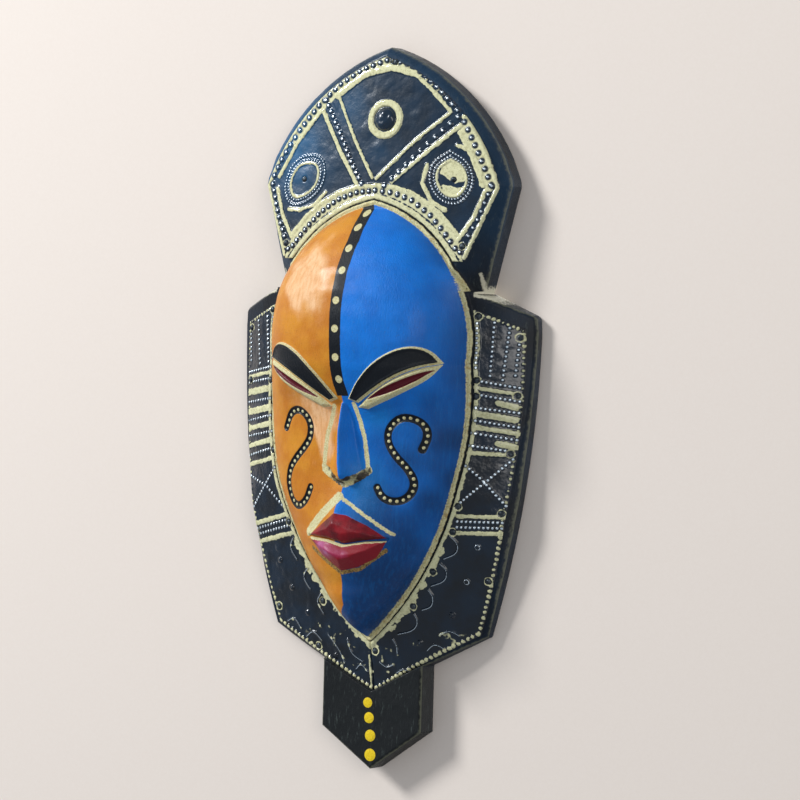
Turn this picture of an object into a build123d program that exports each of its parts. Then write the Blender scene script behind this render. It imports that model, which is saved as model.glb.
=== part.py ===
from build123d import *

import math
import os

# A wall mask carved from one block of light hardwood, dressed with three thin
# embossed aluminium sheets that are held by small round-headed nails.
#
# +X is to the right of someone looking at the face, +Z is up and the face looks
# along -Y. The back of the wood lies on the plane Y = 0, which is the wall. The
# origin is the point where the wall's nail carries the hanging ring. Outlines
# are drawn in the front view, as (x, height above the chin tip).

# ---------------------------------------------------------------- whole mask
HEIGHT = 380.0  # chin tip to crown top
HANG_HEIGHT = 325.0  # chin tip to the wall nail, inside the top of the ring

# ---------------------------------------------------------------- crown
CROWN_HALF = 75.5  # middle to the side corner
CROWN_CORNER = 308.0  # height of the side corners
CROWN_CORNER_R = 9.0
CORNER_DROP = 0.2  # how much lower an inset copy of the upper edge ends, for each mm in
CROWN_SWELL = (0.6, 0.36)  # the upper edge passes this share out and this share down
NECK_HALF = 60.0  # middle to the notch under the crown
NECK = 252.0  # height of the notch

# ---------------------------------------------------------------- flanks, jaw
FLANK_HALF = 89.0
FLANK_TOP = 240.0  # height of the flank's upper corner
FLANK_CORNER_R = 3.5
JAW_HALF = 64.5
JAW = 73.0  # height of the jaw corner
FLANK_BOW = 6.0  # how far the outer edges bow out

# ---------------------------------------------------------------- chin block
BLOCK_HALF = 30.0
BLOCK_TOP = 56.0  # where the jaw's lower edges meet the block
BLOCK_SHOULDER = 21.0  # height of the block's lower corners
BLOCK_THICK = 14.0

# ---------------------------------------------------------------- front of the wood
# The front is cut as three shallow barrels, as from a log: each has a radius,
# a depth at the middle of the mask at one height, and a slope down the mask.
CROWN_BARREL = {"radius": 400.0, "depth": 22.5, "at": 308.0, "slope": -7.0}
FLANK_BARREL = {"radius": 150.0, "depth": 34.5, "at": 170.0, "slope": 0.0}
JAW_BARREL = {"radius": 200.0, "depth": 14.5, "at": 63.0, "slope": 11.0}
BARRELS = (CROWN_BARREL, FLANK_BARREL, JAW_BARREL)
CROWN_EDGE = 11.0  # upright side of the crown below its bevel
FLANK_EDGE = 7.0  # upright side of the flanks below their bevel
CROWN_BEVEL = 45.0  # degrees from upright
FLANK_BEVEL = 30.0
BEVEL_HIGH = 24.0  # height of the bevels before the barrels end them

# ---------------------------------------------------------------- face
FACE_HALF = 57.5
FACE_TOP = 297.0
FACE_WIDEST = 215.0
FACE_TIP = 70.0
TEMPLE = (0.72, 0.3)  # share of the half width, and of the way down to the widest point
CHEEK = (0.81, 0.545)  # the same, on the way from the widest point to the tip
FOREHEAD_DEPTH = 60.0  # how far the forehead stands out from the wall
FOREHEAD = 238.0  # height where it stands out most
CHEEK_DEPTH = 45.0
BROW = 196.0  # height where the forehead steps back to the nose
CHIN_DEPTH = 43.0
CHIN = 92.0
TIP_DEPTH = 19.0
FACE_ROUND = 75.0  # radius of the face from side to side
RIM_WIDTH = 2.6  # raised lip round the face
RIM_PROUD = 2.0
CARVING_PROUD = 2.5  # brows and eyelids over the face
EYE_INNER = 5.0  # inner and outer ends of the lids and brows from the middle
EYE_OUTER = 49.0
BROW_RISE = 3.0  # ends of the brows above the ends of the lids
NOSE_TOP_HALF = 3.0
NOSE_BASE = 154.0
NOSE_BASE_HALF = 12.0
NOSE_DEPTH = 55.0
MOUTH = 121.0
MOUTH_HALF = 23.0
LIPS_HIGH = 28.0
LIPS_DEPTH = 54.0
LIPS_ROUND = 17.0
MOUTH_SLIT = 1.2

# ---------------------------------------------------------------- hollow back
HOLLOW_WALL = 14.0  # wood left between the hollow and the face

# ---------------------------------------------------------------- sheets and nails
SHEET = 0.5
SHEET_GAP = 0.3  # between a sheet and the lip, or between two sheets
SIDE_MARGIN = 5.0  # bare wood between a sheet and the side of the wood
JAW_SIDE_MARGIN = 3.0  # the same at the jaw corner
FLANK_TOP_MARGIN = 6.0
JAW_MARGIN = 1.0
SEAM_TIP = 41.0  # where the seam of the two flank sheets ends on the chin block
CROWN_SHEET_HORN = (55.0, 268.0)  # lower end of the crown sheet, each side
SHEET_BOW = 7.5  # how far the flank sheets' outer edges bow out
CROWN_NAILS = ((-45.5, 310.0), (45.0, 310.5), (5.5, 372.0), (53.0, 276.0), (-54.0, 276.0))
RIGHT_NAILS = (
    (62.5, 240.0), (81.6, 229.5), (62.4, 207.0), (62.4, 198.7), (81.3, 199.4), (78.8, 169.4),
    (75.4, 138.2), (54.2, 141.4), (50.6, 127.8), (67.0, 102.6), (38.6, 106.4), (26.4, 87.6),
)
LEFT_NAILS = (
    (-62.5, 240.5), (-81.6, 230.5), (-62.4, 203.0), (-81.3, 202.6), (-58.5, 166.0),
    (-48.8, 128.2), (-61.0, 82.2), (-28.9, 87.2), (-34.0, 62.8),
)
SEAM_NAIL = (2.4, 62.5)
NAIL_HEAD_R = 1.5
NAIL_HEAD_HIGH = 0.8
NAIL_SHANK_R = 0.6
NAIL_LENGTH = 8.0

# ---------------------------------------------------------------- hanger
RECESS_WIDTH = 22.0
RECESS_DEPTH = 6.0
RECESS_BELOW = 18.0  # below the ring's bar
RECESS_ABOVE = 20.0  # above the ring's bar
RING_WIRE_R = 1.0
RING_WIDTH = 15.0  # between wire centres
RING_SIDE = 4.0  # height of each side's upper end, where the bow starts
RING_CORNER_R = 2.2
BAR_GAP = 0.05  # running clearance of the ring's bar in the curled strap
STRAP = 0.8
STRAP_WIDTH = 9.0
STRAP_LENGTH = 15.0
SCREW_SHANK_R = 1.4
SCREW_LENGTH = 9.0  # under its head
SCREW_HEAD_R = 2.8
SCREW_HEAD_HIGH = 1.7
SCREW_BELOW_BAR = 10.0


def front(*points):
    """Points of the front view, as places on the wall plane."""
    return [Vector(x, 0, height) for x, height in points]


def line(a, b):
    return Line(*front(a, b))


def arc(a, through, b):
    return ThreePointArc(*front(a, through, b))


def prism(edges, depth, corners=(), radius=0.0, taper=0.0):
    """A closed front-view outline run forward from the wall, with the named corners rounded."""
    face = make_face(list(edges)).face()
    if corners:
        near = [
            min(face.vertices(), key=lambda v: abs(v.X - x) + abs(v.Z - z)) for x, z in corners
        ]
        face = face.fillet_2d(radius, near)
    return extrude(face, amount=depth, dir=(0, -1, 0), taper=taper)


# ---------------------------------------------------------------- front of the wood
def barrel(sizes, proud=0.0):
    """The inside of one front barrel, grown by proud."""
    tilt = math.radians(sizes["slope"])
    axis_depth = sizes["depth"] - sizes["radius"] / math.cos(tilt)
    solid = Cylinder(sizes["radius"] + proud, 4 * HEIGHT)
    return Pos(0, -axis_depth, sizes["at"]) * Rot(X=sizes["slope"]) * solid


def behind_front(proud=0.0):
    """Everything behind the carved front, grown by proud."""
    crown, flank, jaw = (barrel(sizes, proud) for sizes in BARRELS)
    return crown & flank & jaw


def on_front(x, height):
    """A point of the front surface, with Z along the surface's normal."""
    places = []
    for sizes in BARRELS:
        radius, tilt = sizes["radius"], math.radians(sizes["slope"])
        drop = (radius - math.sqrt(radius**2 - x**2)) / math.cos(tilt)
        depth = sizes["depth"] + math.tan(tilt) * (height - sizes["at"]) - drop
        places.append((depth, sizes["slope"], math.degrees(math.asin(x / radius))))
    depth, slope, turn = min(places)
    return Pos(x, -depth, height) * Rot(X=slope) * Rot(Z=turn) * Rot(X=90)


# ---------------------------------------------------------------- outlines
def crown_arc(side, inset=0.0):
    """One upper edge of the crown, from its top to its corner."""
    top, half, corner = HEIGHT - inset, CROWN_HALF - inset, CROWN_CORNER - CORNER_DROP * inset
    through = (side * CROWN_SWELL[0] * half, top - CROWN_SWELL[1] * (top - corner))
    return arc((0, top), through, (side * half, corner))


def flank_arc(side, inset=0.0):
    """One outer edge of the flanks, from the upper corner to the jaw corner."""
    top, jaw = FLANK_HALF - inset, JAW_HALF - inset
    through = (side * ((top + jaw) / 2 + FLANK_BOW), (FLANK_TOP + JAW) / 2)
    return arc((side * top, FLANK_TOP), through, (side * jaw, JAW))


def face_outline(grow=0.0):
    """The pointed oval of the face, grown by grow."""
    half, top, tip = FACE_HALF + grow, FACE_TOP + grow, FACE_TIP - grow
    for side in (-1, 1):
        widest = (side * half, FACE_WIDEST)
        temple = (side * TEMPLE[0] * half, top - TEMPLE[1] * (top - FACE_WIDEST))
        cheek = (side * CHEEK[0] * half, FACE_WIDEST - CHEEK[1] * (FACE_WIDEST - tip))
        yield arc((0, top), temple, widest)
        yield arc(widest, cheek, (0, tip))


def crown_wood():
    """The crown, run on down behind the face, with all its outer edges bevelled."""
    corners = [(side * CROWN_HALF, CROWN_CORNER) for side in (-1, 1)]
    foot = 2 * NECK_HALF - CROWN_HALF
    edges = [line((-foot, FACE_WIDEST), (foot, FACE_WIDEST))]
    for side in (-1, 1):
        corner, notch = (side * CROWN_HALF, CROWN_CORNER), (side * NECK_HALF, NECK)
        edges += [crown_arc(side), line(corner, notch), line(notch, (side * foot, FACE_WIDEST))]
    upright = prism(edges, CROWN_EDGE, corners, CROWN_CORNER_R)
    bevelled = prism(edges, BEVEL_HIGH, corners, CROWN_CORNER_R, taper=CROWN_BEVEL)
    return upright + Pos(0, -CROWN_EDGE, 0) * bevelled


def flank_wood():
    """Both flanks and the jaw. Only the outer sides are bevelled."""
    corners = [(side * FLANK_HALF, FLANK_TOP) for side in (-1, 1)]
    below = -BLOCK_TOP
    edges = [line((-BLOCK_HALF, BLOCK_TOP), (BLOCK_HALF, BLOCK_TOP))]
    edges += [line((-NECK_HALF, NECK), (NECK_HALF, NECK))]
    sides = [line((-FLANK_HALF, HEIGHT), (FLANK_HALF, HEIGHT))]
    sides += [line((-JAW_HALF, below), (JAW_HALF, below))]
    for side in (-1, 1):
        top, jaw = (side * FLANK_HALF, FLANK_TOP), (side * JAW_HALF, JAW)
        edges += [line((side * NECK_HALF, NECK), top), flank_arc(side)]
        edges += [line(jaw, (side * BLOCK_HALF, BLOCK_TOP))]
        sides += [line((side * FLANK_HALF, HEIGHT), top), flank_arc(side)]
        sides += [line(jaw, (side * JAW_HALF, below))]
    upright = prism(sides, FLANK_EDGE)
    bevelled = prism(sides, BEVEL_HIGH, taper=FLANK_BEVEL)
    outline = prism(edges, FLANK_EDGE + BEVEL_HIGH, corners, FLANK_CORNER_R)
    return outline & (upright + Pos(0, -FLANK_EDGE, 0) * bevelled)


def chin_block():
    """The plain block under the chin, with its cut lower corners."""
    top = BLOCK_TOP + JAW_MARGIN
    points = [(-BLOCK_HALF, top), (BLOCK_HALF, top), (BLOCK_HALF, BLOCK_SHOULDER)]
    points += [(0, 0), (-BLOCK_HALF, BLOCK_SHOULDER)]
    edges = [line(a, b) for a, b in zip(points, points[1:] + points[:1])]
    seam_end = [(-BLOCK_HALF, top), (BLOCK_HALF, top), (0, SEAM_TIP - SHEET_GAP)]
    under_sheets = [line(a, b) for a, b in zip(seam_end, seam_end[1:] + seam_end[:1])]
    step = prism(under_sheets, 2 * BLOCK_THICK) - behind_front()
    return prism(edges, BLOCK_THICK) - step


# ---------------------------------------------------------------- face
def face_side(grow=0.0):
    """The face's side view, run across the mask: forehead, cheeks and chin."""
    forehead, cheek = FOREHEAD_DEPTH + grow, CHEEK_DEPTH + grow
    chin, tip = CHIN_DEPTH + grow, TIP_DEPTH + grow
    top_depth = CROWN_BARREL["depth"] + grow
    top, bottom = FACE_TOP + grow, FACE_TIP - grow
    wide = 2 * FACE_HALF

    def side(depth, height):
        return Vector(-wide, -depth, height)

    brow_top = side(forehead - 3, FOREHEAD - 26)
    temple = side((forehead + top_depth) / 2 + 6, (FOREHEAD + top) / 2 + 10)
    jaw = side((chin + tip) / 2 + 4, (CHIN + bottom) / 2 - 3)
    outline = [
        Line(side(-1, bottom), side(-1, top)),
        Line(side(-1, top), side(top_depth, top)),
        ThreePointArc(side(top_depth, top), temple, side(forehead, FOREHEAD)),
        Line(side(forehead, FOREHEAD), brow_top),
        Line(brow_top, side(cheek + 2, BROW)),
        Line(side(cheek + 2, BROW), side(cheek, NOSE_BASE)),
        Line(side(cheek, NOSE_BASE), side(chin, CHIN)),
        ThreePointArc(side(chin, CHIN), jaw, side(tip, bottom)),
        Line(side(tip, bottom), side(-1, bottom)),
    ]
    return extrude(make_face(outline).face(), amount=2 * wide, dir=(1, 0, 0))


def face_block(inset=0.0, proud=0.0):
    """The convex face, shrunk by inset or grown outwards by proud."""
    rounded = Pos(0, FACE_ROUND - FOREHEAD_DEPTH, (FACE_TOP + FACE_TIP) / 2) * Cylinder(
        FACE_ROUND - inset + proud, 2 * HEIGHT
    )
    outline = prism(face_outline(-inset), FOREHEAD_DEPTH + proud)
    return outline & face_side(proud - inset) & rounded


def lens(a, b, rise_a, rise_b):
    """A crescent or leaf between two points, with its two edges bowed up by rise_a and rise_b."""
    middle = Vector((a[0] + b[0]) / 2, 0, (a[1] + b[1]) / 2)
    along = (Vector(b[0], 0, b[1]) - Vector(a[0], 0, a[1])).normalized()
    up = Vector(-along.Z, 0, along.X) if along.X > 0 else Vector(along.Z, 0, -along.X)
    start, end = front(a, b)
    edges = [ThreePointArc(start, middle + up * rise, end) for rise in (rise_a, rise_b)]
    return prism(edges, FOREHEAD_DEPTH + 2 * CARVING_PROUD)


def eyes_and_brows():
    """Raised lids and brows, cut from the face grown outwards."""
    raised = face_block(proud=CARVING_PROUD)
    pieces = []
    for side in (-1, 1):
        for rise, bow_low, bow_high in ((0.0, -4.0, 4.5), (BROW_RISE, 4.0, 11.5)):
            inner = (side * EYE_INNER, BROW - 4 + rise)
            outer = (side * EYE_OUTER, BROW + 17 + rise)
            pieces.append(raised & lens(inner, outer, bow_low, bow_high))
    return pieces


def nose():
    """A wedge that widens and stands out towards its base."""
    sections = []
    for height, half, top_half, depth in (
        (BROW, NOSE_TOP_HALF + 2, NOSE_TOP_HALF, NOSE_DEPTH - 3),
        (NOSE_BASE, NOSE_BASE_HALF, NOSE_TOP_HALF + 1, NOSE_DEPTH),
    ):
        root = CHEEK_DEPTH - HOLLOW_WALL / 2
        corners = [(-half, root), (half, root), (top_half, depth), (-top_half, depth)]
        points = [Vector(x, -y, height) for x, y in corners]
        edges = [Line(a, b) for a, b in zip(points, points[1:] + points[:1])]
        sections.append(make_face(edges).face())
    return loft(sections, ruled=True)


def lips():
    """Two full lips with the slit of the mouth between them."""
    root = CHEEK_DEPTH - HOLLOW_WALL / 2
    half = LIPS_HIGH / 2
    left, right = (-MOUTH_HALF, MOUTH), (MOUTH_HALF, MOUTH)
    edges = [
        arc(left, (0, MOUTH + half), right),
        arc(left, (0, MOUTH - half), right),
    ]
    wide = 4 * MOUTH_HALF
    pillow = Pos(0, LIPS_ROUND - LIPS_DEPTH, MOUTH) * Rot(Y=90) * Cylinder(LIPS_ROUND, wide)
    slit = Pos(0, -LIPS_DEPTH, MOUTH) * Box(wide, 2 * MOUTH_SLIT, MOUTH_SLIT)
    before_root = Pos(0, -root, MOUTH) * Box(
        wide, 2 * root, 2 * LIPS_HIGH, align=(Align.CENTER, Align.MAX, Align.CENTER)
    )
    return (prism(edges, LIPS_DEPTH) & pillow & before_root) - slit


def lip_round_face():
    """The raised lip that frames the face."""
    ring = prism(face_outline(RIM_WIDTH), FOREHEAD_DEPTH) - prism(face_outline(), FOREHEAD_DEPTH)
    return ring & behind_front(RIM_PROUD)


# ---------------------------------------------------------------- sheets and nails
def sheet(outline):
    """A thin sheet that lies on the front of the wood inside a closed outline."""
    inside = prism(face_outline(RIM_WIDTH + SHEET_GAP), FOREHEAD_DEPTH)
    return (outline & behind_front(SHEET)) - behind_front() - inside


def crown_sheet_outline():
    half = CROWN_HALF - SIDE_MARGIN
    corner_height = CROWN_CORNER - CORNER_DROP * SIDE_MARGIN
    horn_x, horn_z = CROWN_SHEET_HORN
    edges = [line((-horn_x, horn_z), (horn_x, horn_z))]
    for side in (-1, 1):
        edges += [crown_arc(side, SIDE_MARGIN)]
        edges += [line((side * half, corner_height), (side * horn_x, horn_z))]
    return prism(edges, FOREHEAD_DEPTH)


def flank_sheet_outline(side):
    """One flank and half the jaw, down to the seam below the chin."""
    top, jaw = FLANK_HALF - SIDE_MARGIN, JAW_HALF - JAW_SIDE_MARGIN
    rise = (NECK - FLANK_TOP) / (FLANK_HALF - NECK_HALF)
    top_height = FLANK_TOP - FLANK_TOP_MARGIN
    neck_x, seam_x = NECK_HALF, SHEET_GAP / 2
    neck_height = top_height + rise * (top - neck_x)
    bow = (side * ((top + jaw) / 2 + SHEET_BOW), (FLANK_TOP + JAW) / 2)
    jaw_low = (side * jaw, JAW + JAW_MARGIN)
    block = (side * (BLOCK_HALF - JAW_MARGIN), BLOCK_TOP + JAW_MARGIN)
    edges = [
        line((side * seam_x, FACE_WIDEST), (side * neck_x, FACE_WIDEST)),
        line((side * neck_x, FACE_WIDEST), (side * neck_x, neck_height)),
        line((side * neck_x, neck_height), (side * top, top_height)),
        arc((side * top, top_height), bow, jaw_low),
        line(jaw_low, block),
        line(block, (side * seam_x, SEAM_TIP)),
        line((side * seam_x, SEAM_TIP), (side * seam_x, FACE_WIDEST)),
    ]
    return prism(edges, FOREHEAD_DEPTH)


def nail():
    """A small round-headed nail, its head resting on a sheet at Z = SHEET."""
    ball = (NAIL_HEAD_R**2 + NAIL_HEAD_HIGH**2) / (2 * NAIL_HEAD_HIGH)
    head = Pos(0, 0, SHEET + NAIL_HEAD_HIGH - ball) * Sphere(ball)
    above = Pos(0, 0, SHEET) * Cylinder(2 * ball, 2 * ball, align=(Align.CENTER, Align.CENTER, Align.MIN))
    shank = Pos(0, 0, SHEET + NAIL_HEAD_HIGH / 2) * Cylinder(
        NAIL_SHANK_R, NAIL_LENGTH + NAIL_HEAD_HIGH / 2, align=(Align.CENTER, Align.CENTER, Align.MAX)
    )
    return (head & above) + shank


def nails(places):
    pattern = nail()
    return [on_front(x, height) * pattern for x, height in places]


# ---------------------------------------------------------------- hanger
BAR = HANG_HEIGHT - RING_SIDE - RING_WIDTH / 2 + RING_WIRE_R  # height of the ring's bar
CURL_R = RING_WIRE_R + BAR_GAP + STRAP
BAR_DEPTH = RECESS_DEPTH - CURL_R  # the curl rests on the recess's floor


def ring():
    """A D-shaped wire ring, upright, with its straight bar in the strap."""
    half = RING_WIDTH / 2
    bend = RING_CORNER_R
    slant = bend * (1 - math.sqrt(0.5))

    def at(x, height):
        return Vector(x, -BAR_DEPTH, BAR + height)

    edges = [Line(at(bend - half, 0), at(half - bend, 0))]
    for side in (-1, 1):
        low, high = at(side * (half - bend), 0), at(side * half, bend)
        edges += [ThreePointArc(low, at(side * (half - slant), slant), high)]
        edges += [Line(high, at(side * half, RING_SIDE))]
    bow = at(0, RING_SIDE + half)
    edges += [ThreePointArc(at(-half, RING_SIDE), bow, at(half, RING_SIDE))]
    path = Wire(edges)
    section = Plane(origin=at(0, 0), z_dir=(1, 0, 0)) * Circle(RING_WIRE_R)
    return sweep(section, path=path)


def strap():
    """A strip screwed to the recess's floor and curled round the ring's bar."""
    across = {"rotation": (0, 90, 0)}
    centre = Pos(0, -BAR_DEPTH, BAR)
    curl = centre * (
        Cylinder(CURL_R, STRAP_WIDTH, **across) - Cylinder(RING_WIRE_R + BAR_GAP, STRAP_WIDTH, **across)
    )
    plate = Pos(0, -RECESS_DEPTH, BAR) * Box(
        STRAP_WIDTH, STRAP, STRAP_LENGTH, align=(Align.CENTER, Align.MIN, Align.MAX)
    )
    return curl + (plate - centre * Cylinder(RING_WIRE_R + BAR_GAP, STRAP_WIDTH, **across))


def screw():
    """A pan-headed wood screw that holds the strap."""
    under_head = Pos(0, STRAP - RECESS_DEPTH, BAR - SCREW_BELOW_BAR) * Rot(X=-90)
    head = Cylinder(SCREW_HEAD_R, SCREW_HEAD_HIGH, align=(Align.CENTER, Align.CENTER, Align.MIN))
    head = fillet(head.edges().sort_by(Axis.Z)[-1], 0.6 * SCREW_HEAD_HIGH)
    shank = Cylinder(SCREW_SHANK_R, SCREW_LENGTH, align=(Align.CENTER, Align.CENTER, Align.MAX))
    slot = Pos(0, 0, SCREW_HEAD_HIGH) * Box(3 * SCREW_HEAD_R, 0.8, 1.2)
    return under_head * (head + shank - slot)


def recess():
    """The pocket in the back that sinks the hanger below the wall plane."""
    height = RECESS_ABOVE + RECESS_BELOW
    return Pos(0, 0, BAR - RECESS_BELOW) * Box(
        RECESS_WIDTH, 2 * RECESS_DEPTH, height, align=(Align.CENTER, Align.CENTER, Align.MIN)
    )


# ---------------------------------------------------------------- pieces
crown_nails = nails(CROWN_NAILS)
left_nails = nails(LEFT_NAILS)
right_nails = nails(RIGHT_NAILS + (SEAM_NAIL,))
hanger_screw = screw()

carved_body = (crown_wood() + flank_wood()) & behind_front()
carved_body = carved_body + chin_block() + lip_round_face() + face_block() + nose() + lips()
carved_body = carved_body + eyes_and_brows()
carved_body = carved_body - face_block(inset=HOLLOW_WALL) - recess() - hanger_screw
carved_body = carved_body - crown_nails - left_nails - right_nails

parts = {
    "carved_body": carved_body,
    "crown_sheet": sheet(crown_sheet_outline()) - crown_nails,
    "left_flank_sheet": sheet(flank_sheet_outline(-1)) - left_nails,
    "right_flank_sheet": sheet(flank_sheet_outline(1)) - right_nails,
    "crown_nails": Compound(children=crown_nails),
    "left_sheet_nails": Compound(children=left_nails),
    "right_sheet_nails": Compound(children=right_nails),
    "hanger_strap": strap() - hanger_screw,
    "hanger_ring": ring(),
    "hanger_screw": hanger_screw,
}

os.makedirs("parts", exist_ok=True)
for name, solid in parts.items():
    export_step(Pos(0, 0, -HANG_HEIGHT) * solid, f"parts/{name}.step")
    print(name, len(solid.solids()), "solids", round(solid.volume, 1), "mm3")
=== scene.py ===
import math

import bpy
import numpy as np
from mathutils import Matrix, Vector


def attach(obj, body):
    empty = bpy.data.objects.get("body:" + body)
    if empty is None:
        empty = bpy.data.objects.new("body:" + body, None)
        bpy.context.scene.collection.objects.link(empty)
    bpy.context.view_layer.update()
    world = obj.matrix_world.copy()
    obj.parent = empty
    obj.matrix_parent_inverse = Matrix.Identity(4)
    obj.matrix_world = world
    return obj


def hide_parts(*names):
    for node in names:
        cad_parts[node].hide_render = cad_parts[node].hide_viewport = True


# A wall mask of carved and painted wood, dressed with three embossed sheets. The
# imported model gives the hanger. The wood, the sheets and the nails are rebuilt
# here as fine meshes with the same sizes, and painted by node materials that
# read distances, in millimetres, kept on the meshes.

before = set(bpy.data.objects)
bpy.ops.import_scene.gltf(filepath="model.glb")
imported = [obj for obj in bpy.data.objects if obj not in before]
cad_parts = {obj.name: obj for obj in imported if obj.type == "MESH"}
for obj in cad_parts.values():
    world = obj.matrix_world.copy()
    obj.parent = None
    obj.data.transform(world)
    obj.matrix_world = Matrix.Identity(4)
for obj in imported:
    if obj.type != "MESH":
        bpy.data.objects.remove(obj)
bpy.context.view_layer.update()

# ---------------------------------------------------------------- sizes, in millimetres
# Outlines and patterns are drawn in the front view as (x, height above the chin
# tip), with x to the right of someone looking at the face. Depths are measured
# forward from the wall.
HANG_HEIGHT = 325.0  # chin tip to the wall nail, which is the frame's origin
TOP = 380.0
CROWN_HALF, CROWN_CORNER = 75.5, 308.0
NECK_HALF, NECK = 60.0, 252.0
FLANK_HALF, FLANK_TOP = 89.0, 240.0
JAW_HALF, JAW = 64.5, 73.0
FLANK_BOW = 6.0
BLOCK_HALF, BLOCK_TOP, BLOCK_SHOULDER, BLOCK_THICK = 30.0, 56.0, 21.0, 14.0
FACE_HALF, FACE_TOP, FACE_WIDEST, FACE_TIP = 57.5, 297.0, 215.0, 70.0
RIM_WIDTH = 2.6
# radius, depth at the middle, the height it has that depth at, slope in degrees
BARRELS = ((400.0, 22.5, 308.0, -7.0), (150.0, 34.5, 170.0, 0.0), (200.0, 14.5, 63.0, 11.0))
CROWN_EDGE, FLANK_EDGE = 11.0, 7.0
CROWN_BEVEL, FLANK_BEVEL = 45.0, 30.0
SHEET = 0.5
SHEET_GAP = 0.3  # between a sheet and the lip round the face
SHEET_LIFT = 0.04  # between a sheet's back and the wood
HOLLOW_WALL = 14.0
HOLLOW_ROUND, HOLLOW_SINK = 61.0, 15.0  # the hollow's roundness across, and how far its middle lies back
RECESS_HALF, RECESS_LOW, RECESS_HIGH, RECESS_DEPTH = 11.0, 296.5, 334.5, 6.0
LEFT_NARROWER = 0.94  # the left brow and eye against the right ones


def smooth_min(a, b, soft):
    mix = np.clip(0.5 + 0.5 * (b - a) / soft, 0, 1)
    return b + (a - b) * mix - soft * mix * (1 - mix)


def smooth_max(a, b, soft):
    return -smooth_min(-a, -b, soft)


def ease(low, high, value):
    """0 below low, 1 above high, smooth between."""
    share = np.clip((value - low) / (high - low), 0, 1)
    return share * share * (3 - 2 * share)


def arc(a, through, b, count=14):
    """Points on the circle through three points, from a towards b, without b."""
    (ax, az), (mx, mz), (bx, bz) = a, through, b
    turn = 2 * (ax * (mz - bz) + mx * (bz - az) + bx * (az - mz))
    squares = [ax**2 + az**2, mx**2 + mz**2, bx**2 + bz**2]
    cx = (squares[0] * (mz - bz) + squares[1] * (bz - az) + squares[2] * (az - mz)) / turn
    cz = (squares[0] * (bx - mx) + squares[1] * (ax - bx) + squares[2] * (mx - ax)) / turn
    radius = math.hypot(ax - cx, az - cz)
    start, middle, end = (math.atan2(z - cz, x - cx) for x, z in (a, through, b))
    sweep = (end - start) % (2 * math.pi)
    if (middle - start) % (2 * math.pi) > sweep:
        sweep -= 2 * math.pi
    angles = [start + sweep * i / count for i in range(count)]
    return [(cx + radius * math.cos(t), cz + radius * math.sin(t)) for t in angles]


def distance(points, x, z):
    """Distance to an open line through points."""
    best = np.full(x.shape, 1e9)
    for (ax, az), (bx, bz) in zip(points[:-1], points[1:]):
        ux, uz = bx - ax, bz - az
        share = np.clip(((x - ax) * ux + (z - az) * uz) / (ux * ux + uz * uz + 1e-12), 0, 1)
        best = np.minimum(best, (x - ax - share * ux) ** 2 + (z - az - share * uz) ** 2)
    return np.sqrt(best)


def inside(points, x, z):
    """Signed distance to a closed outline, negative inside."""
    closed = list(points) + [points[0]]
    odd = np.zeros(x.shape, bool)
    for (ax, az), (bx, bz) in zip(closed[:-1], closed[1:]):
        if az != bz:
            crosses = (az > z) != (bz > z)
            odd ^= crosses & (x < (bx - ax) * (z - az) / (bz - az) + ax)
    return np.where(odd, -1.0, 1.0) * distance(closed, x, z)


def mirror(points):
    """The other half of a closed outline given from its top middle to its bottom middle."""
    return list(points) + [(-x, z) for x, z in reversed(points) if abs(x) > 1e-6]


def on_side(side, points):
    """Points given for the right, mirrored where side is -1."""
    return [(side * x, z) for x, z in points]


def rounded(away, radius):
    """1 in the middle, falling like a ball's surface to 0 at radius."""
    return np.sqrt(np.clip(1 - (away / radius) ** 2, 0, 1))


def crown_arc(inset=0.0):
    top, half, corner = TOP - inset, CROWN_HALF - inset, CROWN_CORNER - 0.2 * inset
    return arc((0, top), (0.6 * half, top - 0.36 * (top - corner)), (half, corner))


def crown_outline():
    foot = 2 * NECK_HALF - CROWN_HALF
    corner = [(CROWN_HALF - 1.6, CROWN_CORNER + 3.2), (CROWN_HALF - 1.0, CROWN_CORNER - 0.4)]
    corner += [(CROWN_HALF - 2.2, CROWN_CORNER - 5.0)]
    return mirror(crown_arc()[:-1] + corner + [(NECK_HALF, NECK), (foot, FACE_WIDEST)])


def flank_arc():
    through = ((FLANK_HALF + JAW_HALF) / 2 + FLANK_BOW, (FLANK_TOP + JAW) / 2)
    return arc((FLANK_HALF, FLANK_TOP), through, (JAW_HALF, JAW), 20)


def flank_outline():
    side = [(0, NECK), (NECK_HALF, NECK), (FLANK_HALF - 2.4, FLANK_TOP + 1.0)]
    side += [(FLANK_HALF - 0.6, FLANK_TOP - 0.6)] + flank_arc()[1:]
    side += [(JAW_HALF, JAW), (BLOCK_HALF, BLOCK_TOP), (0, BLOCK_TOP)]
    return mirror(side)


def block_outline(top=BLOCK_TOP + 1):
    return [
        (-BLOCK_HALF, top), (BLOCK_HALF, top), (BLOCK_HALF, BLOCK_SHOULDER), (0, 0),
        (-BLOCK_HALF, BLOCK_SHOULDER),
    ]


def face_outline(grow=0.0):
    half, top, tip = FACE_HALF + grow, FACE_TOP + grow, FACE_TIP - grow
    temple = (0.72 * half, top - 0.3 * (top - FACE_WIDEST))
    cheek = (0.81 * half, tip + 0.455 * (FACE_WIDEST - tip))
    side = arc((0, top), temple, (half, FACE_WIDEST), 20)
    side += arc((half, FACE_WIDEST), cheek, (0, tip), 24) + [(0, tip)]
    return mirror(side)


def wood_front(x, z, soft=1.5):
    """Depth of the carved front below the sheets."""
    depths = []
    for radius, depth, at, slope in BARRELS:
        tilt = math.radians(slope)
        drop = (radius - np.sqrt(radius**2 - x**2)) / math.cos(tilt)
        depths.append(depth + math.tan(tilt) * (z - at) - drop)
    return smooth_min(smooth_min(depths[0], depths[1], soft), depths[2], soft)


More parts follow.
